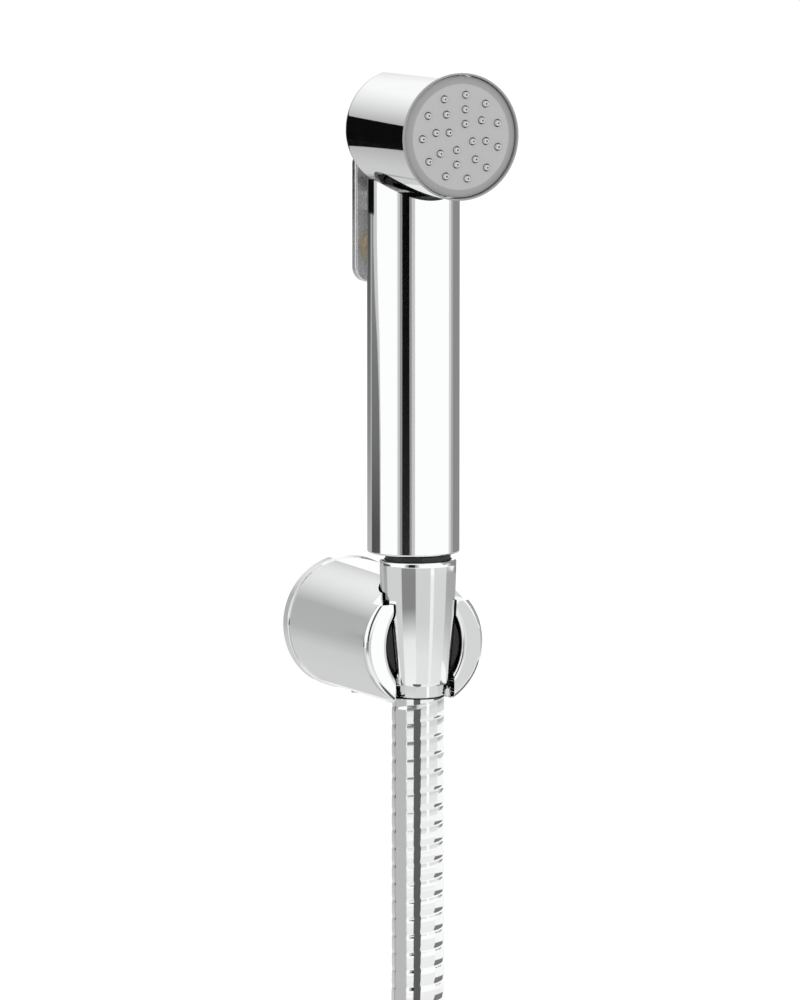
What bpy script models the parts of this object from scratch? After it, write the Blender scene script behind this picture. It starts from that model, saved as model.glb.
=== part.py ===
"""Handheld bidet shower: a chromed trigger handset resting in its wall holder, with a metal hose.

Metres, +Z up. The wall is the plane y = 0 and the shower stands out from it towards -Y.
The origin is the middle of the wall plate's back face.
"""

import math

import bmesh
import bpy

# Clearances, and how far a cutter reaches past the face it cuts
GAP = 0.0003
OVERSHOOT = 0.0010
MERGE = 0.00001

# Wall holder, lengths measured out from the wall
HOLDER_LENGTH = 0.0590
HOLDER_REAR_RADIUS = 0.0202
HOLDER_TAPER = 0.0004
HOLDER_WALL = 0.0032
FOOT_FLARE = 0.0005
FOOT_WIDTH = 0.0040
LIP_THICKNESS = 0.0042
LIP_OUTER_ROUND = 0.0018
LIP_INNER_ROUND = 0.0012
LIP_REACH = 0.0044
MOUTH_STRETCH = 1.23
LIP_TIP_HEIGHT = 0.0128
LIP_TIP_REACH = 0.0156
SLOT_GAP = 0.0018
SEAT_NOSE = 0.0030
SEAT_WALL = 0.0050
SEAT_POCKET_DEPTH = 0.0190
PLATE_DEPTH = 0.0160
PLATE_BASE = 0.0040
PLATE_RIM = 0.0032
PLATE_HOLE_RADIUS = 0.0024
PLATE_HOLE_SPREAD = 0.0160
GRUB_RADIUS = 0.0020
GRUB_LENGTH = 0.0060
GRUB_SOCKET_RADIUS = 0.0011
GRUB_FROM_WALL = 0.0100

# Cone nut and hose, heights measured from the holder's axis
NUT_SETBACK = 0.0052
NUT_TOP = 0.0257
NUT_HEIGHT = 0.0380
NUT_TOP_RADIUS = 0.01165
NUT_FOOT_RADIUS = 0.0091
NUT_BULGE = 0.73
NUT_ROUND = 0.0008
THREAD_RADIUS = 0.0100
WASHER_THICKNESS = 0.0016
WATERWAY_RADIUS = 0.0045
SLEEVE_FLANGE = 0.0020
SLEEVE_BELOW_NUT = 0.0037
SLEEVE_SWAGE = 0.0001
THREAD_DEPTH = 0.0095
HOSE_RADIUS = 0.0080

# Handset
HANDLE_SETBACK = 0.0033
HANDLE_RADIUS = 0.0140
HANDLE_WALL = 0.0012
HANDLE_FOOT_GAP = 0.0018
NIPPLE_INSET = 0.0005
NIPPLE_THICKNESS = 0.0026
NIPPLE_NECK_RADIUS = 0.0090
HEAD_HEIGHT = 0.1280
HEAD_REACH = 0.0335
HEAD_RADIUS = 0.0190
HEAD_TAPER = 0.0008
HEAD_REAR_ROUND = 0.0060
HEAD_RIM = 0.0006
HEAD_BACK_THICKNESS = 0.0240
HEAD_WALL = 0.0032
SADDLE_GAP = 0.0018
SPIGOT_RADIUS = 0.0078
SPIGOT_LENGTH = 0.0085
PASSAGE_RADIUS = 0.0030
SPIGOT_SEAL_BORE = 0.0045

# Spray face; a ring of jets is its share of the head's radius, its count and its first jet's angle
FACE_RECESS = 0.0003
SPRAY_PLATE_THICKNESS = 0.0023
SPRAY_PLATE_BEVEL = 0.0008
MAT_THICKNESS = 0.0016
SEAL_THICKNESS = 0.0014
NUB_RADIUS = 0.0011
NUB_TIP_RADIUS = 0.0008
NUB_STANDOUT = 0.0010
JET_RADIUS = 0.00035
JET_RINGS = ((0.216, 4, 20.0), (0.437, 8, 10.0), (0.663, 11, 7.0))
DISC_THICKNESS = 0.0020
DISC_STANDOFF = 0.0020
DISC_HOLE_RADIUS = 0.0022
DISC_HOLE_FROM_EDGE = 0.0058
DISC_HOLES = 6

# Trigger and valve
LEVER_WIDTH = 0.0200
LEVER_THICKNESS = 0.0030
LEVER_GAP = 0.0060
LEVER_BELOW_PIVOT = 0.0250
LEVER_ABOVE_PIVOT = 0.0155
LEVER_CORNER = 0.0045
PIVOT_BELOW_HEAD = 0.0035
PIVOT_FROM_HANDLE = 0.0025
PIN_RADIUS = 0.00125
EYE_RADIUS = 0.0029
EYE_THICKNESS = 0.0025
HINGE_BLOCK_WIDTH = 0.0090
HINGE_BLOCK_SINK = 0.0034
VALVE_BELOW_PIVOT = 0.0145
STEM_RADIUS = 0.0020
STEM_NOSE_RADIUS = 0.0014
SEAL_RADIUS = 0.0040
SEAL_WIDTH = 0.0018
GLAND_RADIUS = 0.0053
GLAND_STANDOUT = 0.0015
GLAND_LENGTH = 0.0054
GUIDE_LENGTH = 0.0020
OUTLET_CHAMBER_LENGTH = 0.0062
OUTLET_CHAMBER_RADIUS = 0.0034
POPPET_RADIUS = 0.0045
POPPET_THICKNESS = 0.0022
PLUG_THICKNESS = 0.0023
PLUG_SLOT = 0.0012
PLUG_INSET = 0.0010
SPRING_WIRE_RADIUS = 0.00035
SPRING_TURNS = 3
SPRING_NARROW_RADIUS = 0.00235
SPRING_WIDE_RADIUS = 0.00385

# Hose below the handset, its free coil and its end fitting
COIL_RADIUS = 0.0900
COIL_DROP = 0.2679
COIL_ENTRY_DEG = 120.0
COIL_EXIT_DEG = 900.0
COIL_PITCH = 0.0166
TAIL_LENGTH = 0.0850
TAIL_CLEAR = 0.0550
TIE_THICKNESS = 0.0015
TIE_SLACK = 0.0006
TIE_WIDTH = 0.0090
END_NUT_HEIGHT = 0.0235
END_NUT_RADIUS = 0.0139
END_NUT_FLAT = 0.0122
END_NUT_CHAMFER = 0.0010

# The hose's own route from the sleeve to the coil, chosen by hand
HOSE_DROP_ROUTE = (
    (0.0000, -0.0538, -0.0163),
    (0.0000, -0.0538, -0.0350),
    (0.0000, -0.0538, -0.0600),
    (0.0000, -0.0538, -0.0850),
    (-0.0001, -0.0538, -0.1080),
    (-0.0012, -0.0538, -0.1260),
    (-0.0048, -0.0538, -0.1410),
    (-0.0098, -0.0538, -0.1530),
    (-0.0173, -0.0538, -0.1651),
)

# Roundness of turned pieces
FINE_STEPS = 40
NUT_STEPS = 30
STEPS = 26
MEDIUM_STEPS = 20
SMALL_STEPS = 14
HOLE_STEPS = 12
PLATE_HOLE_STEPS = 9
NUB_STEPS = 7
JET_STEPS = 5
SPRING_STEPS = 9
HEX_SIDES = 6
HOSE_ROUNDNESS = 3
WIRE_ROUNDNESS = 2

# Places and sizes that follow from the ones above
HOLDER_FRONT_RADIUS = HOLDER_REAR_RADIUS - HOLDER_TAPER
HOLDER_BORE_RADIUS = HOLDER_REAR_RADIUS - HOLDER_WALL
MOUTH_RADIUS = HOLDER_BORE_RADIUS - LIP_REACH
SEAT_POCKET_RADIUS = HOLDER_BORE_RADIUS - SEAT_WALL
HEAD_REAR_RADIUS = HEAD_RADIUS - HEAD_TAPER
HEAD_CAVITY_RADIUS = HEAD_RADIUS - HEAD_WALL
DISC_HOLE_CIRCLE = HEAD_CAVITY_RADIUS - DISC_HOLE_FROM_EDGE
NUT_Y = -(HOLDER_LENGTH - NUT_SETBACK)
NUT_FOOT = NUT_TOP - NUT_HEIGHT
HANDLE_Y = NUT_Y + HANDLE_SETBACK
HANDLE_BACK_Y = HANDLE_Y + HANDLE_RADIUS
HANDLE_BORE = HANDLE_RADIUS - HANDLE_WALL
HANDLE_FOOT = NUT_TOP + HANDLE_FOOT_GAP
HEAD_Z = HANDLE_FOOT + HEAD_HEIGHT
HEAD_LENGTH = HEAD_REACH + HANDLE_RADIUS
CORE_RADIUS = HANDLE_BORE - GAP
CORE_TOP = HEAD_Z - HEAD_RADIUS - 2 * GAP
HINGE_BLOCK_FRONT_Y = HANDLE_BACK_Y - HINGE_BLOCK_SINK
PIVOT_Y = HANDLE_BACK_Y + PIVOT_FROM_HANDLE
PIVOT_Z = HEAD_Z - HEAD_RADIUS - PIVOT_BELOW_HEAD
LEVER_FRONT_Y = HANDLE_BACK_Y + LEVER_GAP
VALVE_Z = PIVOT_Z - VALVE_BELOW_PIVOT
GLAND_BACK_Y = HANDLE_BACK_Y + GLAND_STANDOUT
GLAND_FRONT_Y = GLAND_BACK_Y - GLAND_LENGTH
SEAL_FRONT_Y = GLAND_FRONT_Y - SEAL_WIDTH - 2 * GAP
GUIDE_FRONT_Y = SEAL_FRONT_Y - GUIDE_LENGTH
VALVE_SEAT_Y = GUIDE_FRONT_Y - OUTLET_CHAMBER_LENGTH
CORE_FRONT_Y = HANDLE_Y - CORE_RADIUS
PLUG_FRONT_Y = CORE_FRONT_Y + PLUG_INSET
NIPPLE_END = NUT_TOP - THREAD_DEPTH
WASHER_TOP = NIPPLE_END - GAP
SLEEVE_TOP = WASHER_TOP - WASHER_THICKNESS - GAP
NUT_SHOULDER = SLEEVE_TOP - SLEEVE_FLANGE - GAP
SLEEVE_FOOT = NUT_FOOT - SLEEVE_BELOW_NUT
SLEEVE_LENGTH = SLEEVE_TOP - SLEEVE_FOOT
SLEEVE_RADIUS = HOSE_RADIUS + SLEEVE_SWAGE
NUT_BORE_RADIUS = SLEEVE_RADIUS + GAP
COIL_LAST_Y = NUT_Y + COIL_PITCH * (COIL_EXIT_DEG - COIL_ENTRY_DEG) / 360.0
COIL_SHELL = HOSE_RADIUS + GAP
END_Z = -COIL_DROP - TAIL_LENGTH

UPRIGHT = (0.0, 0.0, 0.0)
UPSIDE_DOWN = (math.pi, 0.0, 0.0)
TO_FRONT = (math.pi / 2, 0.0, 0.0)
TO_WALL = (-math.pi / 2, 0.0, 0.0)
TO_RIGHT = (0.0, math.pi / 2, 0.0)

for old in list(bpy.data.objects):
    bpy.data.objects.remove(old, do_unlink=True)

parts = bpy.data.collections.new("handheld_bidet_shower")
cutters = bpy.data.collections.new("cutters")
bpy.context.scene.collection.children.link(parts)
bpy.context.scene.collection.children.link(cutters)


def finish(name, colour, roughness, metallic):
    """A Principled material."""
    material = bpy.data.materials.new(name)
    material.use_nodes = True
    shader = material.node_tree.nodes["Principled BSDF"]
    shader.inputs["Base Color"].default_value = (*colour, 1.0)
    shader.inputs["Roughness"].default_value = roughness
    shader.inputs["Metallic"].default_value = metallic
    return material


def chrome(name):
    return finish(name + "_chrome", (0.83, 0.84, 0.85), 0.05, 1.0)


def brass(name):
    return finish(name + "_brass", (0.72, 0.55, 0.28), 0.3, 1.0)


def steel(name):
    return finish(name + "_steel", (0.62, 0.62, 0.61), 0.28, 1.0)


def black_plastic(name):
    return finish(name + "_plastic", (0.02, 0.02, 0.022), 0.45, 0.0)


def grey_plastic(name):
    return finish(name + "_plastic", (0.42, 0.42, 0.43), 0.5, 0.0)


def rubber(name, shade=0.03):
    return finish(name + "_rubber", (shade, shade, shade), 0.65, 0.0)


def add(name, data, place=(0, 0, 0), turn=UPRIGHT, material=None):
    """Put mesh or curve data in the scene as a named part, or as a cutter without a material."""
    piece = bpy.data.objects.new(name, data)
    piece.location = place
    piece.rotation_euler = turn
    if material:
        data.materials.append(material)
        parts.objects.link(piece)
    else:
        piece.hide_render = True
        piece.display_type = "WIRE"
        cutters.objects.link(piece)
    return piece


def turned(name, profile, place=(0, 0, 0), turn=UPRIGHT, material=None, ring=False, steps=STEPS):
    """Turn a profile of (radius, height) points about its own upright axis; a ring's profile is closed."""
    mesh = bpy.data.meshes.new(name)
    points = [(radius, 0.0, height) for radius, height in profile]
    edges = [(index, index + 1) for index in range(len(points) - 1)]
    if ring:
        edges.append((len(points) - 1, 0))
    mesh.from_pydata(points, edges, [])
    piece = add(name, mesh, place, turn, material)
    screw = piece.modifiers.new("turning", "SCREW")
    screw.axis = "Z"
    screw.steps = steps
    screw.render_steps = steps
    screw.use_merge_vertices = True
    screw.merge_threshold = MERGE
    screw.use_smooth_shade = True
    return piece


def rod(radius, low, high):
    """Profile of a plain solid cylinder."""
    return [(0.0, high), (radius, high), (radius, low), (0.0, low)]


def tube(outer, inner, low, high):
    """Profile of a plain ring."""
    return [(inner, high), (outer, high), (outer, low), (inner, low)]


def arc(centre_r, centre_z, radius, start_deg, end_deg, count=4):
    """Points along an arc, angles counted up from the +r direction."""
    points = []
    for index in range(count + 1):
        angle = math.radians(start_deg + (end_deg - start_deg) * index / count)
        points.append((centre_r + radius * math.cos(angle), centre_z + radius * math.sin(angle)))
    return points


def rounded_outline(width, height, radius, count=4):
    """Corner points of an upright rectangle with round corners, centred on its middle."""
    x = width / 2 - radius
    z = height / 2 - radius
    points = []
    for centre_x, centre_z, start in ((x, z, 0), (-x, z, 90), (-x, -z, 180), (x, -z, 270)):
        points.extend(arc(centre_x, centre_z, radius, start, start + 90, count))
    return points


def plate(name, outlines, thickness, place, turn, material=None):
    """Extrude flat outlines both ways from their plane, and make the result a welded mesh."""
    curve = bpy.data.curves.new(name, "CURVE")
    curve.dimensions = "2D"
    curve.fill_mode = "BOTH"
    curve.extrude = thickness / 2
    for outline in outlines:
        spline = curve.splines.new("POLY")
        spline.points.add(len(outline) - 1)
        spline.use_cyclic_u = True
        for point, (x, y) in zip(spline.points, outline):
            point.co = (x, y, 0.0, 1.0)
    guide = bpy.data.objects.new(name + "_outline", curve)
    cutters.objects.link(guide)
    mesh = bpy.data.meshes.new_from_object(guide.evaluated_get(bpy.context.evaluated_depsgraph_get()))
    bpy.data.objects.remove(guide, do_unlink=True)
    shape = bmesh.new()
    shape.from_mesh(mesh)
    bmesh.ops.remove_doubles(shape, verts=shape.verts, dist=MERGE)
    bmesh.ops.recalc_face_normals(shape, faces=shape.faces)
    shape.to_mesh(mesh)
    shape.free()
    return add(name, mesh, place, turn, material)


def block(name, size, centre, material=None):
    """A rectangular block."""
    mesh = bpy.data.meshes.new(name)
    shape = bmesh.new()
    bmesh.ops.create_cube(shape, size=1.0)
    bmesh.ops.scale(shape, vec=size, verts=shape.verts)
    shape.to_mesh(mesh)
    shape.free()
    return add(name, mesh, centre, UPRIGHT, material)


def wire(name, points, radius, material, resolution=WIRE_ROUNDNESS):
    """A round wire, cord or tube through the points, with closed ends."""
    curve = bpy.data.curves.new(name, "CURVE")
    curve.dimensions = "3D"
    curve.bevel_depth = radius
    curve.bevel_resolution = resolution
    curve.use_fill_caps = True
    spline = curve.splines.new("POLY")
    spline.points.add(len(points) - 1)
    for point, place in zip(spline.points, points):
        point.co = (*place, 1.0)
    return add(name, curve, (0, 0, 0), UPRIGHT, material)


def combine(piece, tool, operation="DIFFERENCE"):
    """Cut a piece with a tool, or join the tool to it."""
    modifier = piece.modifiers.new(operation.lower(), "BOOLEAN")
    modifier.operation = operation
    modifier.object = tool
    modifier.solver = "EXACT"


def soften(piece, width, segments=2, angle_deg=40):
    """Round a piece's sharp edges."""
    bevel = piece.modifiers.new("edges", "BEVEL")
    bevel.width = width
    bevel.segments = segments
    bevel.limit_method = "ANGLE"
    bevel.angle_limit = math.radians(angle_deg)


def nut_radius(height):
    """The cone nut's outer radius: nearly straight at its top, drawn in towards its foot."""
    share = (NUT_TOP - height) / NUT_HEIGHT
    drop = (1 - NUT_BULGE) * share + NUT_BULGE * share * share
    return NUT_TOP_RADIUS - (NUT_TOP_RADIUS - NUT_FOOT_RADIUS) * drop


def nut_side(grow, high, low, count=6):
    """Points down the cone nut's side, grown by a clearance."""
    heights = [high + (low - high) * index / count for index in range(count + 1)]
    return [(nut_radius(height) + grow, height) for height in heights]


def seat_cone(name, grow):
    """Cutter for the nut's seat: the nut's own shape, open above and below it."""
    reach = HOLDER_REAR_RADIUS + 4 * OVERSHOOT
    side = nut_side(grow, NUT_TOP, NUT_FOOT)
    profile = [(0.0, reach + NUT_TOP_RADIUS), (side[0][0], reach + NUT_TOP_RADIUS)]
    profile += side + [(side[-1][0], -reach), (0.0, -reach)]
    return turned(name, profile, (0, NUT_Y, 0), steps=STEPS)


def hose_slot(name, grow):
    """Cutter for the slot that lets the hose into the holder from the front."""
    width = 2 * (HOSE_RADIUS + grow)
    reach = 3 * HOLDER_REAR_RADIUS
    depth = 2 * NUT_SETBACK
    return block(name, (width, depth, reach), (0, NUT_Y - depth / 2, 0))


def mouth_cutter():
    """Cutter for the holder's oval mouth, flared in front for the rounded edge of its lip."""
    flare = MOUTH_RADIUS + LIP_INNER_ROUND
    profile = [(0.0, HOLDER_LENGTH + OVERSHOOT), (flare, HOLDER_LENGTH + OVERSHOOT)]
    profile += arc(flare, HOLDER_LENGTH - LIP_INNER_ROUND, LIP_INNER_ROUND, 90, 180)
    low = HOLDER_LENGTH - LIP_THICKNESS - GAP
    profile += [(MOUTH_RADIUS, low), (0.0, low)]
    cutter = turned("mouth_cutter", profile, turn=TO_FRONT, steps=FINE_STEPS)
    cutter.scale.y = MOUTH_STRETCH
    return cutter


def make_wall_holder():
    inner = HOLDER_BORE_RADIUS
    foot_radius = HOLDER_REAR_RADIUS + FOOT_FLARE
    wall_edge = MOUTH_RADIUS - GAP
    round_low = HOLDER_LENGTH - LIP_OUTER_ROUND
    profile = [(wall_edge, HOLDER_LENGTH)]
    profile += arc(HOLDER_FRONT_RADIUS - LIP_OUTER_ROUND, round_low, LIP_OUTER_ROUND, 90, 0, 6)
    profile += [
        (HOLDER_REAR_RADIUS, FOOT_WIDTH),
        (foot_radius, FOOT_WIDTH - FOOT_FLARE),
        (foot_radius, 0.0),
        (inner, 0.0),
        (inner, HOLDER_LENGTH - LIP_THICKNESS),
        (wall_edge, HOLDER_LENGTH - LIP_THICKNESS),
    ]
    shell = turned("holder_shell", profile, turn=TO_FRONT, material=chrome("holder"), ring=True,
                   steps=FINE_STEPS)
    combine(shell, mouth_cutter())
    combine(shell, seat_cone("shell_seat_cutter", 2 * GAP))
    combine(shell, hose_slot("shell_slot_cutter", SLOT_GAP))
    tip_depth = 2 * NUT_SETBACK
    tip_size = (2 * LIP_TIP_REACH, tip_depth, 2 * HOLDER_REAR_RADIUS)
    tip_place = (0, NUT_Y - tip_depth / 2, LIP_TIP_HEIGHT + HOLDER_REAR_RADIUS)
    combine(shell, block("lip_tip_cutter", tip_size, tip_place))
    grub_place = (0, -GRUB_FROM_WALL, 0)
    grub_hole = turned("grub_hole_cutter", rod(GRUB_RADIUS + GAP, 0.0, 2 * HOLDER_REAR_RADIUS), grub_place,
                       UPSIDE_DOWN, steps=SMALL_STEPS)
    combine(shell, grub_hole)

    seat_top = HOLDER_LENGTH - LIP_THICKNESS - GAP
    seat_back = PLATE_DEPTH + GAP
    profile = [
        (0.0, seat_top + SEAT_NOSE),
        (MOUTH_RADIUS - GAP, seat_top + SEAT_NOSE),
        (MOUTH_RADIUS - GAP, seat_top),
        (inner - GAP, seat_top),
        (inner - GAP, seat_back),
        (SEAT_POCKET_RADIUS, seat_back),
        (SEAT_POCKET_RADIUS, seat_back + SEAT_POCKET_DEPTH),
        (0.0, seat_back + SEAT_POCKET_DEPTH),
    ]
    seat = turned("seat_insert", profile, turn=TO_FRONT, material=black_plastic("seat"), steps=STEPS)
    combine(seat, seat_cone("insert_seat_cutter", GAP))
    combine(seat, hose_slot("insert_slot_cutter", GAP))

    rim_inner = inner - GAP - PLATE_RIM
    profile = [
        (0.0, PLATE_BASE),
        (rim_inner, PLATE_BASE),
        (rim_inner, PLATE_DEPTH),
        (inner - GAP, PLATE_DEPTH),
        (inner - GAP, 0.0),
        (0.0, 0.0),
    ]
    plate_piece = turned("wall_plate", profile, turn=TO_FRONT, material=steel("plate"), steps=STEPS)
    for side in (-1, 1):
        sink = [
            (0.0, 2 * PLATE_BASE),
            (2 * PLATE_HOLE_RADIUS, 2 * PLATE_BASE),
            (2 * PLATE_HOLE_RADIUS, PLATE_BASE),
            (PLATE_HOLE_RADIUS, PLATE_BASE / 2),
            (PLATE_HOLE_RADIUS, -PLATE_BASE),
            (0.0, -PLATE_BASE),
        ]
        place = (side * PLATE_HOLE_SPREAD / 2, 0, 0)
        combine(plate_piece, turned(f"screw_hole_cutter_{side}", sink, place, TO_FRONT, steps=SMALL_STEPS))
    combine(plate_piece, grub_hole)

    grub_top = -(rim_inner + PLATE_RIM / 2)
    grub = turned("grub_screw", rod(GRUB_RADIUS, grub_top - GRUB_LENGTH, grub_top), grub_place,
                  material=steel("grub"), steps=SMALL_STEPS)
    socket = turned("grub_socket_cutter", rod(GRUB_SOCKET_RADIUS, -GRUB_LENGTH, GRUB_LENGTH / 3),
                    (0, -GRUB_FROM_WALL, grub_top - GRUB_LENGTH), steps=HEX_SIDES)
    combine(grub, socket)


def make_sleeve(name, place, turn):
    """The turned sleeve crimped on a hose end; its flange is held in a nut. Up is towards the mouth."""
    flange_low = SLEEVE_LENGTH - SLEEVE_FLANGE
    profile = [
        (WATERWAY_RADIUS, SLEEVE_LENGTH),
        (THREAD_RADIUS, SLEEVE_LENGTH),
        (THREAD_RADIUS, flange_low),
        (SLEEVE_RADIUS, flange_low),
        (SLEEVE_RADIUS, 0.0),
        (WATERWAY_RADIUS, 0.0),
    ]
    return turned(name, profile, place, turn, chrome(name), ring=True, steps=STEPS)


def make_washer(name, place, turn):
    """A flat sealing washer lying on a sleeve's flange."""
    profile = tube(THREAD_RADIUS, WATERWAY_RADIUS, 0.0, WASHER_THICKNESS)
    return turned(name, profile, place, turn, rubber(name), ring=True, steps=MEDIUM_STEPS)


def make_cone_nut():
    bore = THREAD_RADIUS + GAP
    profile = arc(NUT_TOP_RADIUS - NUT_ROUND, NUT_TOP - NUT_ROUND, NUT_ROUND, 90, 0, 3)
    profile += nut_side(0.0, NUT_TOP - 2 * NUT_ROUND, NUT_FOOT + 2 * NUT_ROUND)
    profile += arc(NUT_FOOT_RADIUS - NUT_ROUND / 2, NUT_FOOT + NUT_ROUND / 2, NUT_ROUND / 2, 0, -90, 2)
    profile += [(NUT_BORE_RADIUS, NUT_FOOT), (NUT_BORE_RADIUS, NUT_SHOULDER)]
    profile += [(bore, NUT_SHOULDER), (bore, NUT_TOP)]
    turned("cone_nut", profile, (0, NUT_Y, 0), material=chrome("nut"), ring=True, steps=NUT_STEPS)
    make_washer("nut_washer", (0, NUT_Y, WASHER_TOP - WASHER_THICKNESS), UPRIGHT)
    make_sleeve("hose_sleeve_top", (0, NUT_Y, SLEEVE_FOOT), UPRIGHT)


def head_side(grow):
    """The head's outer profile from its front rim to the middle of its back, grown by a clearance."""
    round_radius = HEAD_REAR_ROUND + grow
    rear = HEAD_REAR_RADIUS + grow
    side = [(HEAD_RADIUS + grow, HEAD_LENGTH + grow - HEAD_RIM / 2)]
    return side + arc(rear - round_radius, round_radius - grow, round_radius, 0, -90, 7) + [(0.0, -grow)]


def nub_places():
    """The places of the jets on the spray face, right and up from its middle."""
    places = []
    for share, count, first_deg in JET_RINGS:
        radius = share * HEAD_RADIUS
        for index in range(count):
            angle = math.radians(90 - first_deg - 360 * index / count)
            places.append((radius * math.cos(angle), radius * math.sin(angle)))
    return places


def studs(name, profile, depth, steps):
    """One cutter or tool with a turned stud at every jet, all facing the front."""
    mesh = bpy.data.meshes.new(name)
    shape = bmesh.new()
    low, high, low_radius, high_radius = profile
    for x, z in nub_places():
        made = bmesh.ops.create_cone(shape, cap_ends=True, segments=steps, radius1=low_radius,
                                     radius2=high_radius, depth=high - low)
        bmesh.ops.translate(shape, verts=made["verts"], vec=(x, z, (low + high) / 2))
    shape.to_mesh(mesh)
    shape.free()
    return add(name, mesh, (0, depth, HEAD_Z), TO_FRONT)


def make_head():
    back = (0, HANDLE_BACK_Y, HEAD_Z)
    mouth = HEAD_RADIUS - HEAD_RIM
    front_of_plate = HEAD_LENGTH - FACE_RECESS
    plate_low = front_of_plate - SPRAY_PLATE_THICKNESS
    mat_low = plate_low - GAP - MAT_THICKNESS
    seal_low = mat_low - GAP - SEAL_THICKNESS
    step = seal_low - GAP
    profile = [
        (0.0, HEAD_BACK_THICKNESS),
        (HEAD_CAVITY_RADIUS, HEAD_BACK_THICKNESS),
        (HEAD_CAVITY_RADIUS, step),
        (mouth, step),
    ]
    profile += arc(mouth + HEAD_RIM / 2, HEAD_LENGTH - HEAD_RIM / 2, HEAD_RIM / 2, 180, 0, 6)
    profile += head_side(0.0)[1:]
    housing = turned("head_housing", profile, back, TO_FRONT, chrome("head"), steps=FINE_STEPS)
    spigot_low = CORE_TOP - SPIGOT_LENGTH
    spigot = turned("spigot_tool", rod(SPIGOT_RADIUS, spigot_low, HEAD_Z - HEAD_REAR_RADIUS / 2),
                    (0, HANDLE_Y, 0), steps=MEDIUM_STEPS)
    combine(housing, spigot, "UNION")
    passage = turned("head_passage_cutter", rod(PASSAGE_RADIUS, spigot_low - OVERSHOOT, HEAD_Z),
                     (0, HANDLE_Y, 0), steps=SMALL_STEPS)
    combine(housing, passage)
    port_side = rod(PASSAGE_RADIUS, HANDLE_RADIUS - PASSAGE_RADIUS / 2, HEAD_BACK_THICKNESS + OVERSHOOT)
    port = turned("head_port_cutter", port_side, back, TO_FRONT, steps=SMALL_STEPS)
    combine(housing, port)

    disc_low = step - DISC_STANDOFF - DISC_THICKNESS
    disc_side = rod(HEAD_CAVITY_RADIUS - GAP, disc_low, disc_low + DISC_THICKNESS)
    disc = turned("distributor_disc", disc_side, back, TO_FRONT, grey_plastic("distributor"))
    for index in range(DISC_HOLES):
        angle = 2 * math.pi * index / DISC_HOLES
        hole_x = DISC_HOLE_CIRCLE * math.cos(angle)
        hole_z = HEAD_Z + DISC_HOLE_CIRCLE * math.sin(angle)
        hole = turned(f"distributor_hole_cutter_{index}", rod(DISC_HOLE_RADIUS, disc_low - OVERSHOOT, step),
                      (hole_x, HANDLE_BACK_Y, hole_z), TO_FRONT, steps=HOLE_STEPS)
        combine(disc, hole)

    turned("chamber_seal", tube(mouth - GAP, HEAD_CAVITY_RADIUS, seal_low, seal_low + SEAL_THICKNESS), back,
           TO_FRONT, rubber("chamber_seal"), ring=True)

    mat = turned("nozzle_mat", rod(mouth - GAP, mat_low, mat_low + MAT_THICKNESS), back, TO_FRONT,
                 rubber("nozzle_mat", 0.55))
    nub = (mat_low + MAT_THICKNESS / 2, HEAD_LENGTH + NUB_STANDOUT - FACE_RECESS, NUB_RADIUS, NUB_TIP_RADIUS)
    combine(mat, studs("nub_tool", nub, HANDLE_BACK_Y, NUB_STEPS), "UNION")
    jet = (mat_low - OVERSHOOT, HEAD_LENGTH + 2 * OVERSHOOT, JET_RADIUS, JET_RADIUS)
    combine(mat, studs("jet_cutter", jet, HANDLE_BACK_Y, JET_STEPS))

    face = turned("spray_plate", [
        (0.0, front_of_plate),
        (mouth - GAP - 3 * SPRAY_PLATE_BEVEL, front_of_plate),
        (mouth - GAP, front_of_plate - SPRAY_PLATE_BEVEL),
        (mouth - GAP, plate_low),
        (0.0, plate_low),
    ], back, TO_FRONT, grey_plastic("spray_plate"), steps=FINE_STEPS)
    hole = (plate_low - OVERSHOOT, HEAD_LENGTH + OVERSHOOT, NUB_RADIUS + GAP, NUB_RADIUS + GAP)
    combine(face, studs("face_hole_cutter", hole, HANDLE_BACK_Y, PLATE_HOLE_STEPS))


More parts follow.
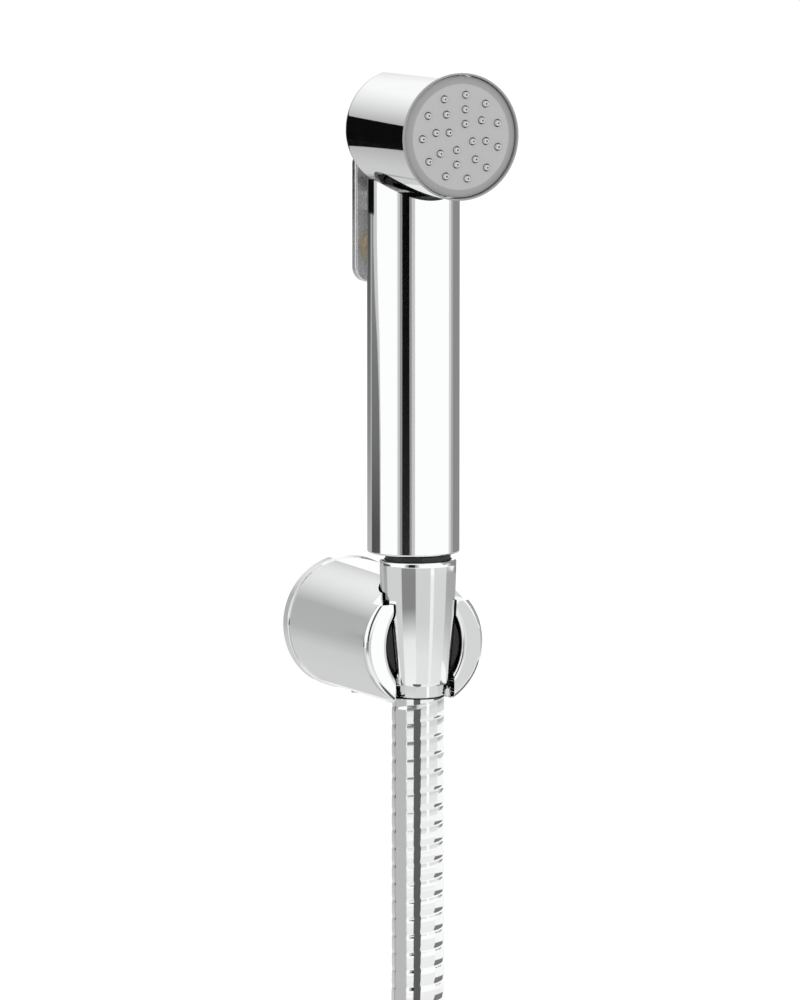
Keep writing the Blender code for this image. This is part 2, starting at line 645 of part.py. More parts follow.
def make_handle():
    profile = [
        (HANDLE_BORE, HEAD_Z - HEAD_RADIUS / 2),
        (HANDLE_RADIUS, HEAD_Z - HEAD_RADIUS / 2),
        (HANDLE_RADIUS, HANDLE_FOOT + HANDLE_WALL / 2),
    ]
    foot_round = HANDLE_WALL / 2
    profile += arc(HANDLE_RADIUS - foot_round, HANDLE_FOOT + foot_round, foot_round, 0, -90, 2)[1:]
    profile += [(HANDLE_BORE, HANDLE_FOOT)]
    handle_place = (0, HANDLE_Y, 0)
    sleeve = turned("handle_sleeve", profile, handle_place, material=chrome("handle"), ring=True,
                    steps=FINE_STEPS)
    head_shape = [(0.0, HEAD_LENGTH), (HEAD_RADIUS + SADDLE_GAP, HEAD_LENGTH)] + head_side(SADDLE_GAP)[1:]
    saddle = turned("saddle_cutter", head_shape, (0, HANDLE_BACK_Y, HEAD_Z), TO_FRONT, steps=FINE_STEPS)
    combine(sleeve, saddle)
    gland_hole = turned("gland_hole_cutter", rod(GLAND_RADIUS + GAP, 0.0, 2 * HANDLE_RADIUS),
                        (0, HANDLE_Y, VALVE_Z), TO_WALL, steps=SMALL_STEPS)
    combine(sleeve, gland_hole)
    notch_low = PIVOT_Z - EYE_RADIUS - 2 * GAP
    notch = block("hinge_notch_cutter", (HINGE_BLOCK_WIDTH + 2 * GAP, HANDLE_RADIUS, HEAD_Z - notch_low),
                  (0, HANDLE_BACK_Y, (notch_low + HEAD_Z) / 2))
    combine(sleeve, notch)

    nipple_low = HANDLE_FOOT + NIPPLE_INSET
    nipple_top = nipple_low + NIPPLE_THICKNESS
    nipple = turned("inlet_nipple", rod(CORE_RADIUS, nipple_low, nipple_top), handle_place,
                    material=black_plastic("nipple"), steps=MEDIUM_STEPS)
    neck_foot = HANDLE_FOOT - GAP
    stub_profile = rod(NIPPLE_NECK_RADIUS, neck_foot, nipple_top - OVERSHOOT)[:-1]
    stub_profile += rod(THREAD_RADIUS, NIPPLE_END, neck_foot)[1:]
    stub = turned("nipple_stub_tool", stub_profile, (0, NUT_Y, 0), steps=MEDIUM_STEPS)
    combine(nipple, stub, "UNION")
    bore = turned("nipple_bore_cutter", rod(WATERWAY_RADIUS, NIPPLE_END - OVERSHOOT, nipple_top + OVERSHOOT),
                  (0, NUT_Y, 0), steps=SMALL_STEPS)
    combine(nipple, bore)
    return nipple_top


def make_valve_body(low):
    """The core inside the handle: an inlet passage, the valve's cross bore and an outlet passage."""
    core = turned("valve_body", rod(CORE_RADIUS, low + GAP, CORE_TOP), (0, HANDLE_Y, 0),
                  material=black_plastic("valve_body"))
    inlet_y = CORE_FRONT_Y + PLUG_THICKNESS + POPPET_THICKNESS + PASSAGE_RADIUS
    outlet_y = VALVE_SEAT_Y + OUTLET_CHAMBER_LENGTH / 2
    bores = (
        ("inlet_cutter", rod(PASSAGE_RADIUS, low - OVERSHOOT, VALVE_Z), inlet_y),
        ("outlet_cutter", rod(PASSAGE_RADIUS, VALVE_Z, CORE_TOP), outlet_y),
        ("spigot_bore_cutter", rod(SPIGOT_RADIUS + GAP, CORE_TOP - SPIGOT_LENGTH - WASHER_THICKNESS, HEAD_Z),
         HANDLE_Y),
    )
    for name, profile, y in bores:
        combine(core, turned(name, profile, (0, y, 0), steps=SMALL_STEPS))
    # The cross bore, as one stepped cutter seen from the handle's front
    far = 2 * HANDLE_RADIUS
    steps_back = (
        (GLAND_RADIUS + GAP, -far, -GLAND_FRONT_Y + GAP),
        (SEAL_RADIUS + GAP, -GLAND_FRONT_Y + GAP, -SEAL_FRONT_Y),
        (STEM_RADIUS + GAP, -SEAL_FRONT_Y, -GUIDE_FRONT_Y),
        (OUTLET_CHAMBER_RADIUS, -GUIDE_FRONT_Y, -VALVE_SEAT_Y),
        (GLAND_RADIUS + GAP, -VALVE_SEAT_Y, far - HANDLE_Y),
    )
    profile = []
    for radius, start, end in reversed(steps_back):
        profile += [(radius, end), (radius, start)]
    profile = [(0.0, profile[0][1])] + profile + [(0.0, profile[-1][1])]
    combine(core, turned("valve_bore_cutter", profile, (0, 0, VALVE_Z), TO_FRONT, steps=MEDIUM_STEPS))
    pocket_low = PIVOT_Z - EYE_RADIUS - 2 * GAP
    pocket_front = HINGE_BLOCK_FRONT_Y - GAP
    pocket_size = (HINGE_BLOCK_WIDTH + 2 * GAP, HANDLE_RADIUS, HEAD_Z - pocket_low)
    pocket = block("hinge_pocket_cutter", pocket_size,
                   (0, pocket_front + HANDLE_RADIUS / 2, (pocket_low + HEAD_Z) / 2))
    combine(core, pocket)
    seal_low = CORE_TOP - SPIGOT_LENGTH - WASHER_THICKNESS + GAP
    seal_high = seal_low + WASHER_THICKNESS - 2 * GAP
    turned("spigot_seal", tube(SPIGOT_RADIUS, SPIGOT_SEAL_BORE, seal_low, seal_high), (0, HANDLE_Y, 0),
           material=rubber("spigot_seal"), ring=True, steps=MEDIUM_STEPS)


def make_hinge():
    """The hinge block in the handle's notch, the trigger lever with its two eyes, and the pin."""
    outline = [(HINGE_BLOCK_FRONT_Y, -EYE_RADIUS)]
    outline += arc(PIVOT_Y, 0.0, EYE_RADIUS, -90, 90, 8)
    outline += [(HINGE_BLOCK_FRONT_Y, EYE_RADIUS)]
    across = (math.pi / 2, 0.0, math.pi / 2)
    hinge = plate("hinge_block", [outline], HINGE_BLOCK_WIDTH, (0, 0, PIVOT_Z), across, steel("hinge_block"))
    pin_hole = turned("pin_hole_cutter", rod(PIN_RADIUS + GAP, -LEVER_WIDTH, LEVER_WIDTH),
                      (0, PIVOT_Y, PIVOT_Z), TO_RIGHT, steps=SMALL_STEPS)
    combine(hinge, pin_hole)

    height = LEVER_ABOVE_PIVOT + LEVER_BELOW_PIVOT
    middle_z = PIVOT_Z + (LEVER_ABOVE_PIVOT - LEVER_BELOW_PIVOT) / 2
    lever_y = LEVER_FRONT_Y + LEVER_THICKNESS / 2
    lever = plate("trigger_lever", [rounded_outline(LEVER_WIDTH, height, LEVER_CORNER, 5)], LEVER_THICKNESS,
                  (0, lever_y - PIVOT_Y, middle_z - PIVOT_Z), TO_FRONT, chrome("lever"))
    lever.data.transform(lever.matrix_basis)
    lever.matrix_basis.identity()
    lever.location = (0, PIVOT_Y, PIVOT_Z)
    soften(lever, LEVER_THICKNESS / 4)
    eye_reach = LEVER_FRONT_Y - PIVOT_Y + LEVER_THICKNESS / 3
    outline = [(eye_reach, EYE_RADIUS)] + arc(0.0, 0.0, EYE_RADIUS, 90, 270, 8) + [(eye_reach, -EYE_RADIUS)]
    for side in (-1, 1):
        eye_x = side * (HINGE_BLOCK_WIDTH / 2 + GAP + EYE_THICKNESS / 2)
        eye = plate(f"lever_eye_tool_{side}", [outline], EYE_THICKNESS, (eye_x, PIVOT_Y, PIVOT_Z), across)
        combine(lever, eye, "UNION")
    combine(lever, pin_hole)
    reach = HINGE_BLOCK_WIDTH / 2 + GAP + EYE_THICKNESS
    turned("lever_pin", rod(PIN_RADIUS, -reach, reach), (0, PIVOT_Y, PIVOT_Z), TO_RIGHT, steel("lever_pin"),
           steps=SMALL_STEPS)


def make_valve():
    """The gland, seal, stem, poppet, spring and plug in the cross bore, from the back to the front."""
    place = (0, 0, VALVE_Z)
    gland = turned("valve_gland", [
        (STEM_RADIUS + GAP, -GLAND_FRONT_Y),
        (GLAND_RADIUS, -GLAND_FRONT_Y),
        (GLAND_RADIUS, -GLAND_BACK_Y + GLAND_STANDOUT / 2),
        (GLAND_RADIUS - GLAND_STANDOUT / 2, -GLAND_BACK_Y),
        (STEM_RADIUS + GAP, -GLAND_BACK_Y),
    ], place, TO_FRONT, brass("gland"), ring=True, steps=MEDIUM_STEPS)
    slot = block("gland_slot_cutter", (PLUG_SLOT, GLAND_STANDOUT, 3 * GLAND_RADIUS),
                 (0, GLAND_BACK_Y, VALVE_Z))
    combine(gland, slot)
    seal = tube(SEAL_RADIUS, STEM_RADIUS + GAP, -GLAND_FRONT_Y + 2 * GAP, -SEAL_FRONT_Y - GAP / 2)
    turned("stem_seal", seal, place, TO_FRONT, rubber("stem_seal"), ring=True, steps=SMALL_STEPS)

    stem_back = -LEVER_FRONT_Y + GAP
    shoulder = -VALVE_SEAT_Y + GAP
    nose = shoulder + POPPET_THICKNESS
    profile = [(0.0, nose), (STEM_NOSE_RADIUS, nose)]
    profile += [(STEM_NOSE_RADIUS, shoulder - GAP), (STEM_RADIUS, shoulder - GAP)]
    profile += arc(0.0, stem_back + STEM_RADIUS, STEM_RADIUS, 0, -90, 4)
    turned("valve_stem", profile, place, TO_FRONT, steel("stem"), steps=SMALL_STEPS)
    turned("valve_poppet", tube(POPPET_RADIUS, STEM_NOSE_RADIUS + GAP, shoulder, nose), place, TO_FRONT,
           rubber("poppet"), ring=True, steps=MEDIUM_STEPS)

    plug_low = -PLUG_FRONT_Y - PLUG_THICKNESS
    plug = turned("valve_plug", rod(GLAND_RADIUS, plug_low, -PLUG_FRONT_Y), place, TO_FRONT, brass("plug"),
                  steps=MEDIUM_STEPS)
    combine(plug, block("plug_slot_cutter", (PLUG_SLOT, PLUG_THICKNESS, 3 * GLAND_RADIUS),
                        (0, PLUG_FRONT_Y, VALVE_Z)))
    points = []
    spring_low = nose + GAP + SPRING_WIRE_RADIUS
    spring_high = plug_low - GAP - SPRING_WIRE_RADIUS
    count = SPRING_TURNS * SPRING_STEPS
    for index in range(count + 1):
        share = index / count
        angle = 2 * math.pi * SPRING_TURNS * share
        radius = SPRING_NARROW_RADIUS + (SPRING_WIDE_RADIUS - SPRING_NARROW_RADIUS) * share
        points.append((radius * math.cos(angle), -(spring_low + (spring_high - spring_low) * share),
                       VALVE_Z + radius * math.sin(angle)))
    wire("valve_spring", points, SPRING_WIRE_RADIUS, steel("spring"))


def smooth_route(points, per_span=2):
    """Points along the smooth curve (Catmull-Rom) through the given ones."""
    padded = [points[0], *points, points[-1]]
    route = []
    for index in range(1, len(padded) - 2):
        corners = padded[index - 1:index + 3]
        for step in range(per_span):
            t = step / per_span
            weights = (
                (-t + 2 * t ** 2 - t ** 3) / 2,
                (2 - 5 * t ** 2 + 3 * t ** 3) / 2,
                (t + 4 * t ** 2 - 3 * t ** 3) / 2,
                (-t ** 2 + t ** 3) / 2,
            )
            route.append(tuple(
                sum(weight * corner[axis] for weight, corner in zip(weights, corners)) for axis in range(3)
            ))
    route.append(points[-1])
    return route


def make_hose():
    wire("hose_drop", smooth_route(HOSE_DROP_ROUTE), HOSE_RADIUS, chrome("hose_drop"), HOSE_ROUNDNESS)
    outer = COIL_RADIUS + COIL_SHELL
    inner = COIL_RADIUS - COIL_SHELL
    front = -NUT_Y + COIL_SHELL
    back = -COIL_LAST_Y - COIL_SHELL
    corner = COIL_SHELL / 2
    profile = [
        (inner, front - corner),
        (inner + corner, front),
        (outer - corner, front),
        (outer, front - corner),
        (outer, back + corner),
        (outer - corner, back),
        (inner + corner, back),
        (inner, back + corner),
    ]
    turned("hose_coil", profile, (0, 0, -COIL_DROP), TO_FRONT, chrome("hose_coil"), ring=True,
           steps=FINE_STEPS)
    tail_route = [(-COIL_RADIUS, COIL_LAST_Y, -COIL_DROP - TAIL_CLEAR), (-COIL_RADIUS, COIL_LAST_Y, END_Z)]
    middle = tuple((a + b) / 2 for a, b in zip(*tail_route))
    wire("hose_tail", [tail_route[0], middle, tail_route[1]], HOSE_RADIUS, chrome("hose_tail"), HOSE_ROUNDNESS)

    depth = front - back
    for side, name in ((-1, "coil_tie_left"), (1, "coil_tie_right")):
        width = 2 * (COIL_SHELL + TIE_SLACK)
        length = depth + 2 * TIE_SLACK
        inner_loop = rounded_outline(width, length, corner / 2, 2)
        outer_loop = rounded_outline(width + 2 * TIE_THICKNESS, length + 2 * TIE_THICKNESS,
                                     corner / 2 + TIE_THICKNESS, 2)
        place = (side * COIL_RADIUS, -(front + back) / 2, -COIL_DROP)
        plate(name, [outer_loop, inner_loop], TIE_WIDTH, place, UPRIGHT, rubber(name, 0.02))


def make_end_fitting():
    """The free end's sleeve, its washer and the hexagon nut that turns on the sleeve, mouth down."""
    sleeve_high = END_Z - GAP
    centre = (-COIL_RADIUS, COIL_LAST_Y, sleeve_high)
    make_sleeve("hose_sleeve_end", centre, UPSIDE_DOWN)
    washer_low = SLEEVE_LENGTH + GAP
    make_washer("end_washer", (centre[0], centre[1], sleeve_high - washer_low), UPSIDE_DOWN)
    bore = THREAD_RADIUS + GAP
    shoulder = SLEEVE_LENGTH - SLEEVE_FLANGE - GAP
    mouth = washer_low + WASHER_THICKNESS + THREAD_DEPTH
    low = mouth - END_NUT_HEIGHT
    profile = [
        (bore, mouth),
        (END_NUT_FLAT, mouth),
        (END_NUT_RADIUS, mouth - (END_NUT_RADIUS - END_NUT_FLAT)),
        (END_NUT_RADIUS, low + 2 * (END_NUT_RADIUS - END_NUT_FLAT)),
        (END_NUT_FLAT - END_NUT_CHAMFER, low),
        (NUT_BORE_RADIUS, low),
        (NUT_BORE_RADIUS, shoulder),
        (bore, shoulder),
    ]
    nut = turned("end_nut", profile, centre, UPSIDE_DOWN, chrome("end_nut"), ring=True, steps=NUT_STEPS)
    corner_radius = END_NUT_FLAT / math.cos(math.pi / 6)
    hexagon = turned("hexagon_tool", rod(corner_radius, low - OVERSHOOT, mouth + OVERSHOOT), centre,
                     UPSIDE_DOWN, steps=HEX_SIDES)
    combine(nut, hexagon, "INTERSECT")


make_wall_holder()
make_cone_nut()
make_head()
make_valve_body(make_handle())
make_hinge()
make_valve()
make_hose()
make_end_fitting()
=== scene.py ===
"""Dress the handheld bidet shower: its chrome, ribbed hose and soft jets, and the light and camera.

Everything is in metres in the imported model's own frame: +Z up, the wall is y = 0 and the spray faces -Y.
"""

import math

import bmesh
import bpy
from mathutils import Matrix, Vector


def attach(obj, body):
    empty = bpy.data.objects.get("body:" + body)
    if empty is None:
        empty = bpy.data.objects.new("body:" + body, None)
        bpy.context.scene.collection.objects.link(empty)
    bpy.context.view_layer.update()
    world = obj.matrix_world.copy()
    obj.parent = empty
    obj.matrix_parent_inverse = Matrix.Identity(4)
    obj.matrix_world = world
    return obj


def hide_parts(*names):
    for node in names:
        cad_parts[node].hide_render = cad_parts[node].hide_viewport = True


bl_info = {
    "name": "Bidet shower dresser",
    "version": (1, 0, 0),
    "blender": (4, 5, 0),
    "location": "View3D > Sidebar > Bidet shower",
    "description": "Builds the fine surfaces, hose, materials and studio of a handheld bidet shower",
    "category": "Add Mesh",
}

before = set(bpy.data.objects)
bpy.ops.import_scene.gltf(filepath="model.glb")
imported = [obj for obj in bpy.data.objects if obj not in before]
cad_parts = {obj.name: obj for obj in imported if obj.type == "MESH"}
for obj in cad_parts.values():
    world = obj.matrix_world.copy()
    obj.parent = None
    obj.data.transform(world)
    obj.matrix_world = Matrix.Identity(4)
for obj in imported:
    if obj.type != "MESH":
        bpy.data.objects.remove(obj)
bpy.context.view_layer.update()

# Gap between touching pieces, a cutter's reach past its piece, and how near two points are merged
GAP = 0.0003
OVERSHOOT = 0.001
MERGE = 0.00001

# Wall holder
HOLDER_LENGTH = 0.0590
HOLDER_FRONT_RADIUS = 0.0198
HOLDER_REAR_RADIUS = 0.0202
HOLDER_BORE_RADIUS = 0.0170
FOOT_FLARE = 0.0005
FOOT_WIDTH = 0.0040
LIP_THICKNESS = 0.0042
LIP_OUTER_ROUND = 0.0018
LIP_INNER_ROUND = 0.0012
MOUTH_RADIUS = 0.0126
MOUTH_STRETCH = 1.23
LIP_TIP_HEIGHT = 0.0128
LIP_TIP_REACH = 0.0156
SLOT_GAP = 0.0018
SEAT_NOSE = 0.0030
SEAT_NOSE_ROUND = 0.0005
SEAT_BACK = 0.0163
SEAT_POCKET_RADIUS = 0.0120
SEAT_POCKET_DEPTH = 0.0190
GRUB_HOLE_RADIUS = 0.0023
GRUB_FROM_WALL = 0.0100
HOLDER_EDGE_ROUND = 0.00035

# Cone nut
NUT_Y = -0.0538
NUT_SETBACK = 0.0052
NUT_TOP = 0.0257
NUT_HEIGHT = 0.0380
NUT_FOOT = NUT_TOP - NUT_HEIGHT
NUT_TOP_RADIUS = 0.01165
NUT_FOOT_RADIUS = 0.0091
NUT_BULGE = 0.73
NUT_ROUND = 0.0008
NUT_SHOULDER = 0.0117
THREAD_BORE = 0.0103
NUT_FOOT_BORE = 0.0084

# Handset
HANDLE_Y = -0.0505
HANDLE_RADIUS = 0.0140
HANDLE_BACK_Y = HANDLE_Y + HANDLE_RADIUS
HANDLE_WALL = 0.0012
HANDLE_FOOT = 0.0275
HEAD_Z = 0.1555
HEAD_RADIUS = 0.0190
HEAD_REAR_RADIUS = 0.0182
HEAD_REAR_ROUND = 0.0060
HEAD_LENGTH = 0.0475
HEAD_RIM = 0.0006
HEAD_CAVITY_RADIUS = 0.0158
SADDLE_GAP = 0.0018
SEAL_THICKNESS = 0.0014
HEAD_BACK_THICKNESS = 0.0240
FACE_LOW = 0.0449
FACE_HIGH = 0.0472
FACE_BEVEL = 0.0008
MAT_LOW = 0.0430
MAT_HIGH = 0.0446
NUB_RADIUS = 0.0011
NUB_TIP_RADIUS = 0.0008
NUB_ROUND = 0.0003
NUB_HIGH = 0.0482
JET_RADIUS = 0.00035
JET_DEPTH = 0.0010
JET_RINGS = ((0.0041, 4, 20.0), (0.0083, 8, 10.0), (0.0126, 11, 7.0))
# Width of the darker ring painted as shade round the spray plate's edge
EDGE_SHADE_RING = 0.0025

# Trigger
LEVER_WIDTH = 0.0200
LEVER_THICKNESS = 0.0030
LEVER_FRONT_Y = -0.0305
LEVER_LOW = 0.1080
LEVER_HIGH = 0.1485
LEVER_CORNER = 0.0045
PIVOT = (0.0, -0.0340, 0.1330)
PIN_HOLE_RADIUS = 0.00155
EYE_RADIUS = 0.0029
EYE_THICKNESS = 0.0025
HINGE_WIDTH = 0.0090
VALVE_Z = 0.1185
GLAND_HOLE_RADIUS = 0.0056

# Hose
HOSE_RADIUS = 0.0080
SLEEVE_RADIUS = 0.0081
SLEEVE_BORE = 0.0045
SLEEVE_FLANGE_RADIUS = 0.0100
SLEEVE_FLANGE = 0.0020
SLEEVE_LENGTH = 0.0300
SLEEVE_FOOT = -0.0160
SLEEVE_EDGE = 0.0004
COIL_RADIUS = 0.0900
COIL_Z = -0.2679
COIL_ENTRY_DEG = 120
COIL_EXIT_DEG = 900
COIL_STEP_DEG = 6
COIL_PITCH = 0.0166
COIL_LAST_Y = NUT_Y + COIL_PITCH * (COIL_EXIT_DEG - COIL_ENTRY_DEG) / 360
END_Z = -0.3529
END_SLEEVE_Z = -0.3532
END_NUT_LOW = 0.0179
END_NUT_MOUTH = 0.0414
END_NUT_SHOULDER = 0.0277
END_NUT_RADIUS = 0.0139
END_NUT_FLAT = 0.0122
END_NUT_CHAMFER = 0.0010
TIE_THICKNESS = 0.0011
TIE_WIDTH = 0.0090

# The hose's route from its sleeve to the coil, given point by point as x and z, all of it below the cone nut
HOSE_DROP_ROUTE = (
    (0.0000, -0.0163),
    (0.0000, -0.0350),
    (0.0000, -0.0600),
    (0.0000, -0.0850),
    (-0.0001, -0.1080),
    (-0.0012, -0.1260),
    (-0.0048, -0.1410),
    (-0.0098, -0.1530),
    (-0.0173, -0.1651),
    (-0.0264, -0.1756),
    (-0.0346, -0.1829),
)

# One turn of the hose's strip: shares of the pitch, each with its share of the groove's depth
STRIP_PROFILE = (
    (0.0, 1.0), (0.1, 0.46), (0.22, 0.14), (0.38, 0.0), (0.5, 0.16), (0.62, 0.0), (0.78, 0.14), (0.9, 0.46),
)

# Sides of turned pieces and of holes, and steps along the hose
FINE_STEPS = 192
GLAND_STEPS = 64
HOLE_STEPS = 48
JET_STEPS = 28
DROP_STEPS = 4
TAIL_STEPS = 8

# Finishes: the part of the noise that counts, its grain, and how far it moves the roughness
NOISE_LOW = 0.3
NOISE_HIGH = 0.7
CHROME_GRAIN = 90.0
CHROME_VARIATION = 0.02
GRAIN_DETAIL = 3.0
GRAIN_VARIATION = 0.05
GRAIN_STRENGTH = 0.25
RIM_ROUGHNESS = 0.4

# Floor, and the low disc that stands for it in reflections
FLOOR_RADIUS = 1.1
FLOOR_Y = -0.05
FLOOR_Z = -0.402
TABLE_RADIUS = 6.5
TABLE_Z = -1.2
TABLE_LEVEL = 0.9
STAGE_STEPS = 96

# Camera
CAMERA_DEG = -25.0
CAMERA_SHIFT = -0.00404
CAMERA_HEIGHT = 0.0432
CAMERA_REACH = 50.0
SENSOR_WIDTH = 36.0

# Cards that only reflections see: name, first and last angle from the camera's, radius and levels.
# A level is a height with its brightness, and may carry the card's width in degrees at that height.
CARD_STEPS = 12
CARDS = (
    # The black line down the middle, and its soft edges
    ("front_strip", -28.0, -9.0, 1.0, (
        (-0.13, 0.028), (-0.08, 0.018), (-0.03, 0.007), (0.03, 0.002), (1.3, 0.002))),
    ("front_fade", -34.0, -4.0, 1.01, ((-0.13, 0.3), (1.3, 0.3))),
    ("front_far_fade", -40.0, 4.0, 1.02, ((-0.13, 0.6), (1.3, 0.6))),
    # The greys of the hose
    ("hose_strip", -12.0, 12.0, 0.03, ((-0.125, 0.11), (-0.0195, 0.11))),
    ("hose_left_card", -100.0, -41.0, 0.03, ((-0.125, 0.5), (-0.0195, 0.5))),
    ("hose_right_card", 82.0, 152.0, 1.0, ((-1.19, 0.2), (-0.335, 0.2), (-0.31, 1.0), (-0.14, 1.0))),
    ("hose_far_card", 82.0, 152.0, 3.0, ((0.0, 0.25), (2.0, 0.25))),
    # The greys of the cone nut
    ("nut_left_card", -108.0, -50.0, 1.0, ((-1.19, 0.66), (-0.13, 0.66))),
    ("nut_strip", -48.0, -6.0, 0.15, ((-0.075, 0.95), (-0.040, 0.85), (-0.022, 0.25), (0.0, 0.25))),
    ("nut_front_card", -6.0, 37.0, 0.15, ((-0.075, 0.8), (-0.05, 0.8), (-0.03, 0.66), (0.0, 0.66))),
    ("nut_right_card", 48.0, 92.0, 0.15, ((-0.075, 0.85), (-0.05, 0.8), (-0.03, 0.7), (0.0, 0.7))),
    ("nut_back_card", 92.0, 172.0, 0.15, ((-0.044, 0.75), (-0.025, 0.5), (-0.012, 0.4), (0.0, 0.4))),
    # The slanted dark band on the handle's left, and the side of the holder
    ("left_dark_card", -127.0, -108.0, 1.0, (
        (-1.19, 0.4), (-0.14, 0.4), (-0.13, 0.3), (-0.12, 0.08, 35.0), (-0.094, 0.08, 35.0),
        (-0.055, 0.16, 34.0), (-0.033, 0.18, 32.0), (-0.01, 0.2, 26.0), (0.012, 0.22, 15.0),
        (0.034, 0.25, 9.0), (1.3, 0.25, 9.0))),
    ("left_fade", -127.0, -90.0, 1.02, (
        (-0.12, 0.55, 38.0), (-0.055, 0.55, 38.0), (-0.01, 0.6, 34.0), (0.012, 0.6, 28.0),
        (0.034, 0.6, 24.0), (1.3, 0.6, 24.0))),
    ("left_side_card", -133.0, -127.0, 1.0, (
        (-1.19, 0.75), (-0.3, 0.62), (-0.1, 0.47), (0.25, 0.45), (0.6, 1.0), (1.3, 1.0))),
    ("left_back_card", -172.0, -133.0, 1.0, (
        (-1.19, 0.75), (-0.3, 0.62), (-0.1, 0.47), (-0.077, 0.38), (-0.055, 0.28), (-0.033, 0.22),
        (-0.01, 0.17), (0.012, 0.12), (0.034, 0.09), (0.065, 0.09), (0.08, 0.45), (0.25, 0.45),
        (0.6, 1.0), (1.3, 1.0))),
    # The grey band on the handle's right, and its soft edges
    ("right_back_card", 116.0, 172.0, 1.0, ((-0.13, 0.26), (1.3, 0.26))),
    ("right_fade", 107.0, 172.0, 1.01, ((-0.13, 0.42), (1.3, 0.42))),
    ("right_far_fade", 99.0, 172.0, 1.02, ((-0.13, 0.68), (1.3, 0.68))),
    # The black band on the head's side
    ("head_card", -145.0, -110.0, 0.12, ((0.121, 0.003), (0.172, 0.003))),
)

# Turns that lay a piece's own upright axis along another one
UPRIGHT = Matrix.Identity(4)
UPSIDE_DOWN = Matrix.Rotation(math.pi, 4, "X")
TO_FRONT = Matrix.Rotation(math.pi / 2, 4, "X")
TO_WALL = Matrix.Rotation(-math.pi / 2, 4, "X")
TO_RIGHT = Matrix.Rotation(math.pi / 2, 4, "Y")


class BidetMetalSettings(bpy.types.PropertyGroup):
    """Colours and finishes of the pieces."""

    chrome_colour: bpy.props.FloatVectorProperty(
        name="Chrome colour", description="Colour of the plated surfaces", size=3, subtype="COLOR",
        default=(0.93, 0.935, 0.94), min=0.0, max=1.0)
    chrome_roughness: bpy.props.FloatProperty(
        name="Chrome roughness", description="Roughness of the plated surfaces", default=0.035,
        min=0.0, max=1.0)
    lever_colour: bpy.props.FloatVectorProperty(
        name="Lever colour", description="Colour of the satin lever", size=3, subtype="COLOR",
        default=(0.7, 0.7, 0.705), min=0.0, max=1.0)
    face_colour: bpy.props.FloatVectorProperty(
        name="Spray face colour", description="Colour of the satin spray plate", size=3, subtype="COLOR",
        default=(0.46, 0.46, 0.465), min=0.0, max=1.0)
    # Painted shade: the darker grey on the spray plate's bevelled edge, also the satin grey of the head's
    # front rim
    rim_grey_and_edge_shade_colour: bpy.props.FloatVectorProperty(
        name="Face edge colour", description="Colour of the ring round the spray plate", size=3,
        subtype="COLOR", default=(0.33, 0.33, 0.335), min=0.0, max=1.0)
    jet_colour: bpy.props.FloatVectorProperty(
        name="Jet colour", description="Colour of the soft jets", size=3, subtype="COLOR",
        default=(0.62, 0.62, 0.62), min=0.0, max=1.0)


class BidetShapeSettings(bpy.types.PropertyGroup):
    """Sizes that a user might change."""

    turning_steps: bpy.props.IntProperty(
        name="Turning steps", description="Sides of a turned piece", default=144, min=24, max=256)
    ridge_pitch: bpy.props.FloatProperty(
        name="Ridge pitch", description="Distance between the turns of the hose's metal strip",
        default=0.0054, min=0.002, max=0.02, unit="LENGTH")
    ridge_depth: bpy.props.FloatProperty(
        name="Ridge depth", description="Depth of the groove between two turns of the strip",
        default=0.00026, min=0.0, max=0.001, unit="LENGTH")
    hose_sides: bpy.props.IntProperty(
        name="Hose sides", description="Sides of the hose's tube", default=40, min=12, max=64)


class BidetStageSettings(bpy.types.PropertyGroup):
    """Studio and camera."""

    world_light: bpy.props.FloatProperty(
        name="World light", description="Strength of the white surroundings", default=1.05,
        min=0.0, max=5.0)
    azimuth: bpy.props.FloatProperty(
        name="Azimuth", description="Direction of the camera, from straight in front towards the right",
        default=math.radians(CAMERA_DEG), unit="ROTATION")
    elevation: bpy.props.FloatProperty(
        name="Elevation", description="Height angle of the camera", default=math.radians(7.07),
        unit="ROTATION")
    distance: bpy.props.FloatProperty(
        name="Distance", description="Camera's distance from the point it looks at", default=2.2,
        min=0.3, max=10.0, unit="LENGTH")
    lens: bpy.props.FloatProperty(
        name="Lens", description="Focal length in millimetres", default=261.54,
        min=20.0, max=600.0)


class Socket:
    """A shader socket that can be added, subtracted, multiplied and mixed like a number."""

    def __init__(self, tree, output):
        self.tree = tree
        self.output = output

    @staticmethod
    def node(tree, kind, inputs, output=0, stops=(), **settings):
        """Add any node, set its fields or its ramp's grey stops, then its inputs, and return an output."""
        made = tree.nodes.new(kind)
        for key, value in settings.items():
            setattr(made, key, value)
        for place, _ in stops[1:-1]:
            made.color_ramp.elements.new(place)
        for index, (_, level) in enumerate(stops):
            made.color_ramp.elements[index].color = (level, level, level, 1.0)
        for key, value in inputs.items():
            if isinstance(value, Socket):
                tree.links.new(value.output, made.inputs[key])
            else:
                made.inputs[key].default_value = value
        return Socket(tree, made.outputs[output])

    def math(self, operation, other):
        return Socket.node(self.tree, "ShaderNodeMath", {0: self, 1: other}, operation=operation)

    def __add__(self, other):
        return self.math("ADD", other)

    def __sub__(self, other):
        return self.math("SUBTRACT", other)

    def __rsub__(self, other):
        return Socket.node(self.tree, "ShaderNodeMath", {0: other, 1: self}, operation="SUBTRACT")

    def __mul__(self, other):
        return self.math("MULTIPLY", other)

    __radd__ = __add__
    __rmul__ = __mul__

    def axis(self, name):
        """One coordinate of this place."""
        return Socket.node(self.tree, "ShaderNodeSeparateXYZ", {"Vector": self}, name)

    def ramp(self, low, high, start=0.0, end=1.0):
        """Map low..high of this value onto start..end."""
        return Socket.node(self.tree, "ShaderNodeMapRange", {0: self, 1: low, 2: high, 3: start, 4: end})

    def between(self, first, second):
        """Mix two colours by this value."""
        inputs = {"Factor": self, "A": (*first, 1.0), "B": (*second, 1.0)}
        return Socket.node(self.tree, "ShaderNodeMix", inputs, "Result", data_type="RGBA")


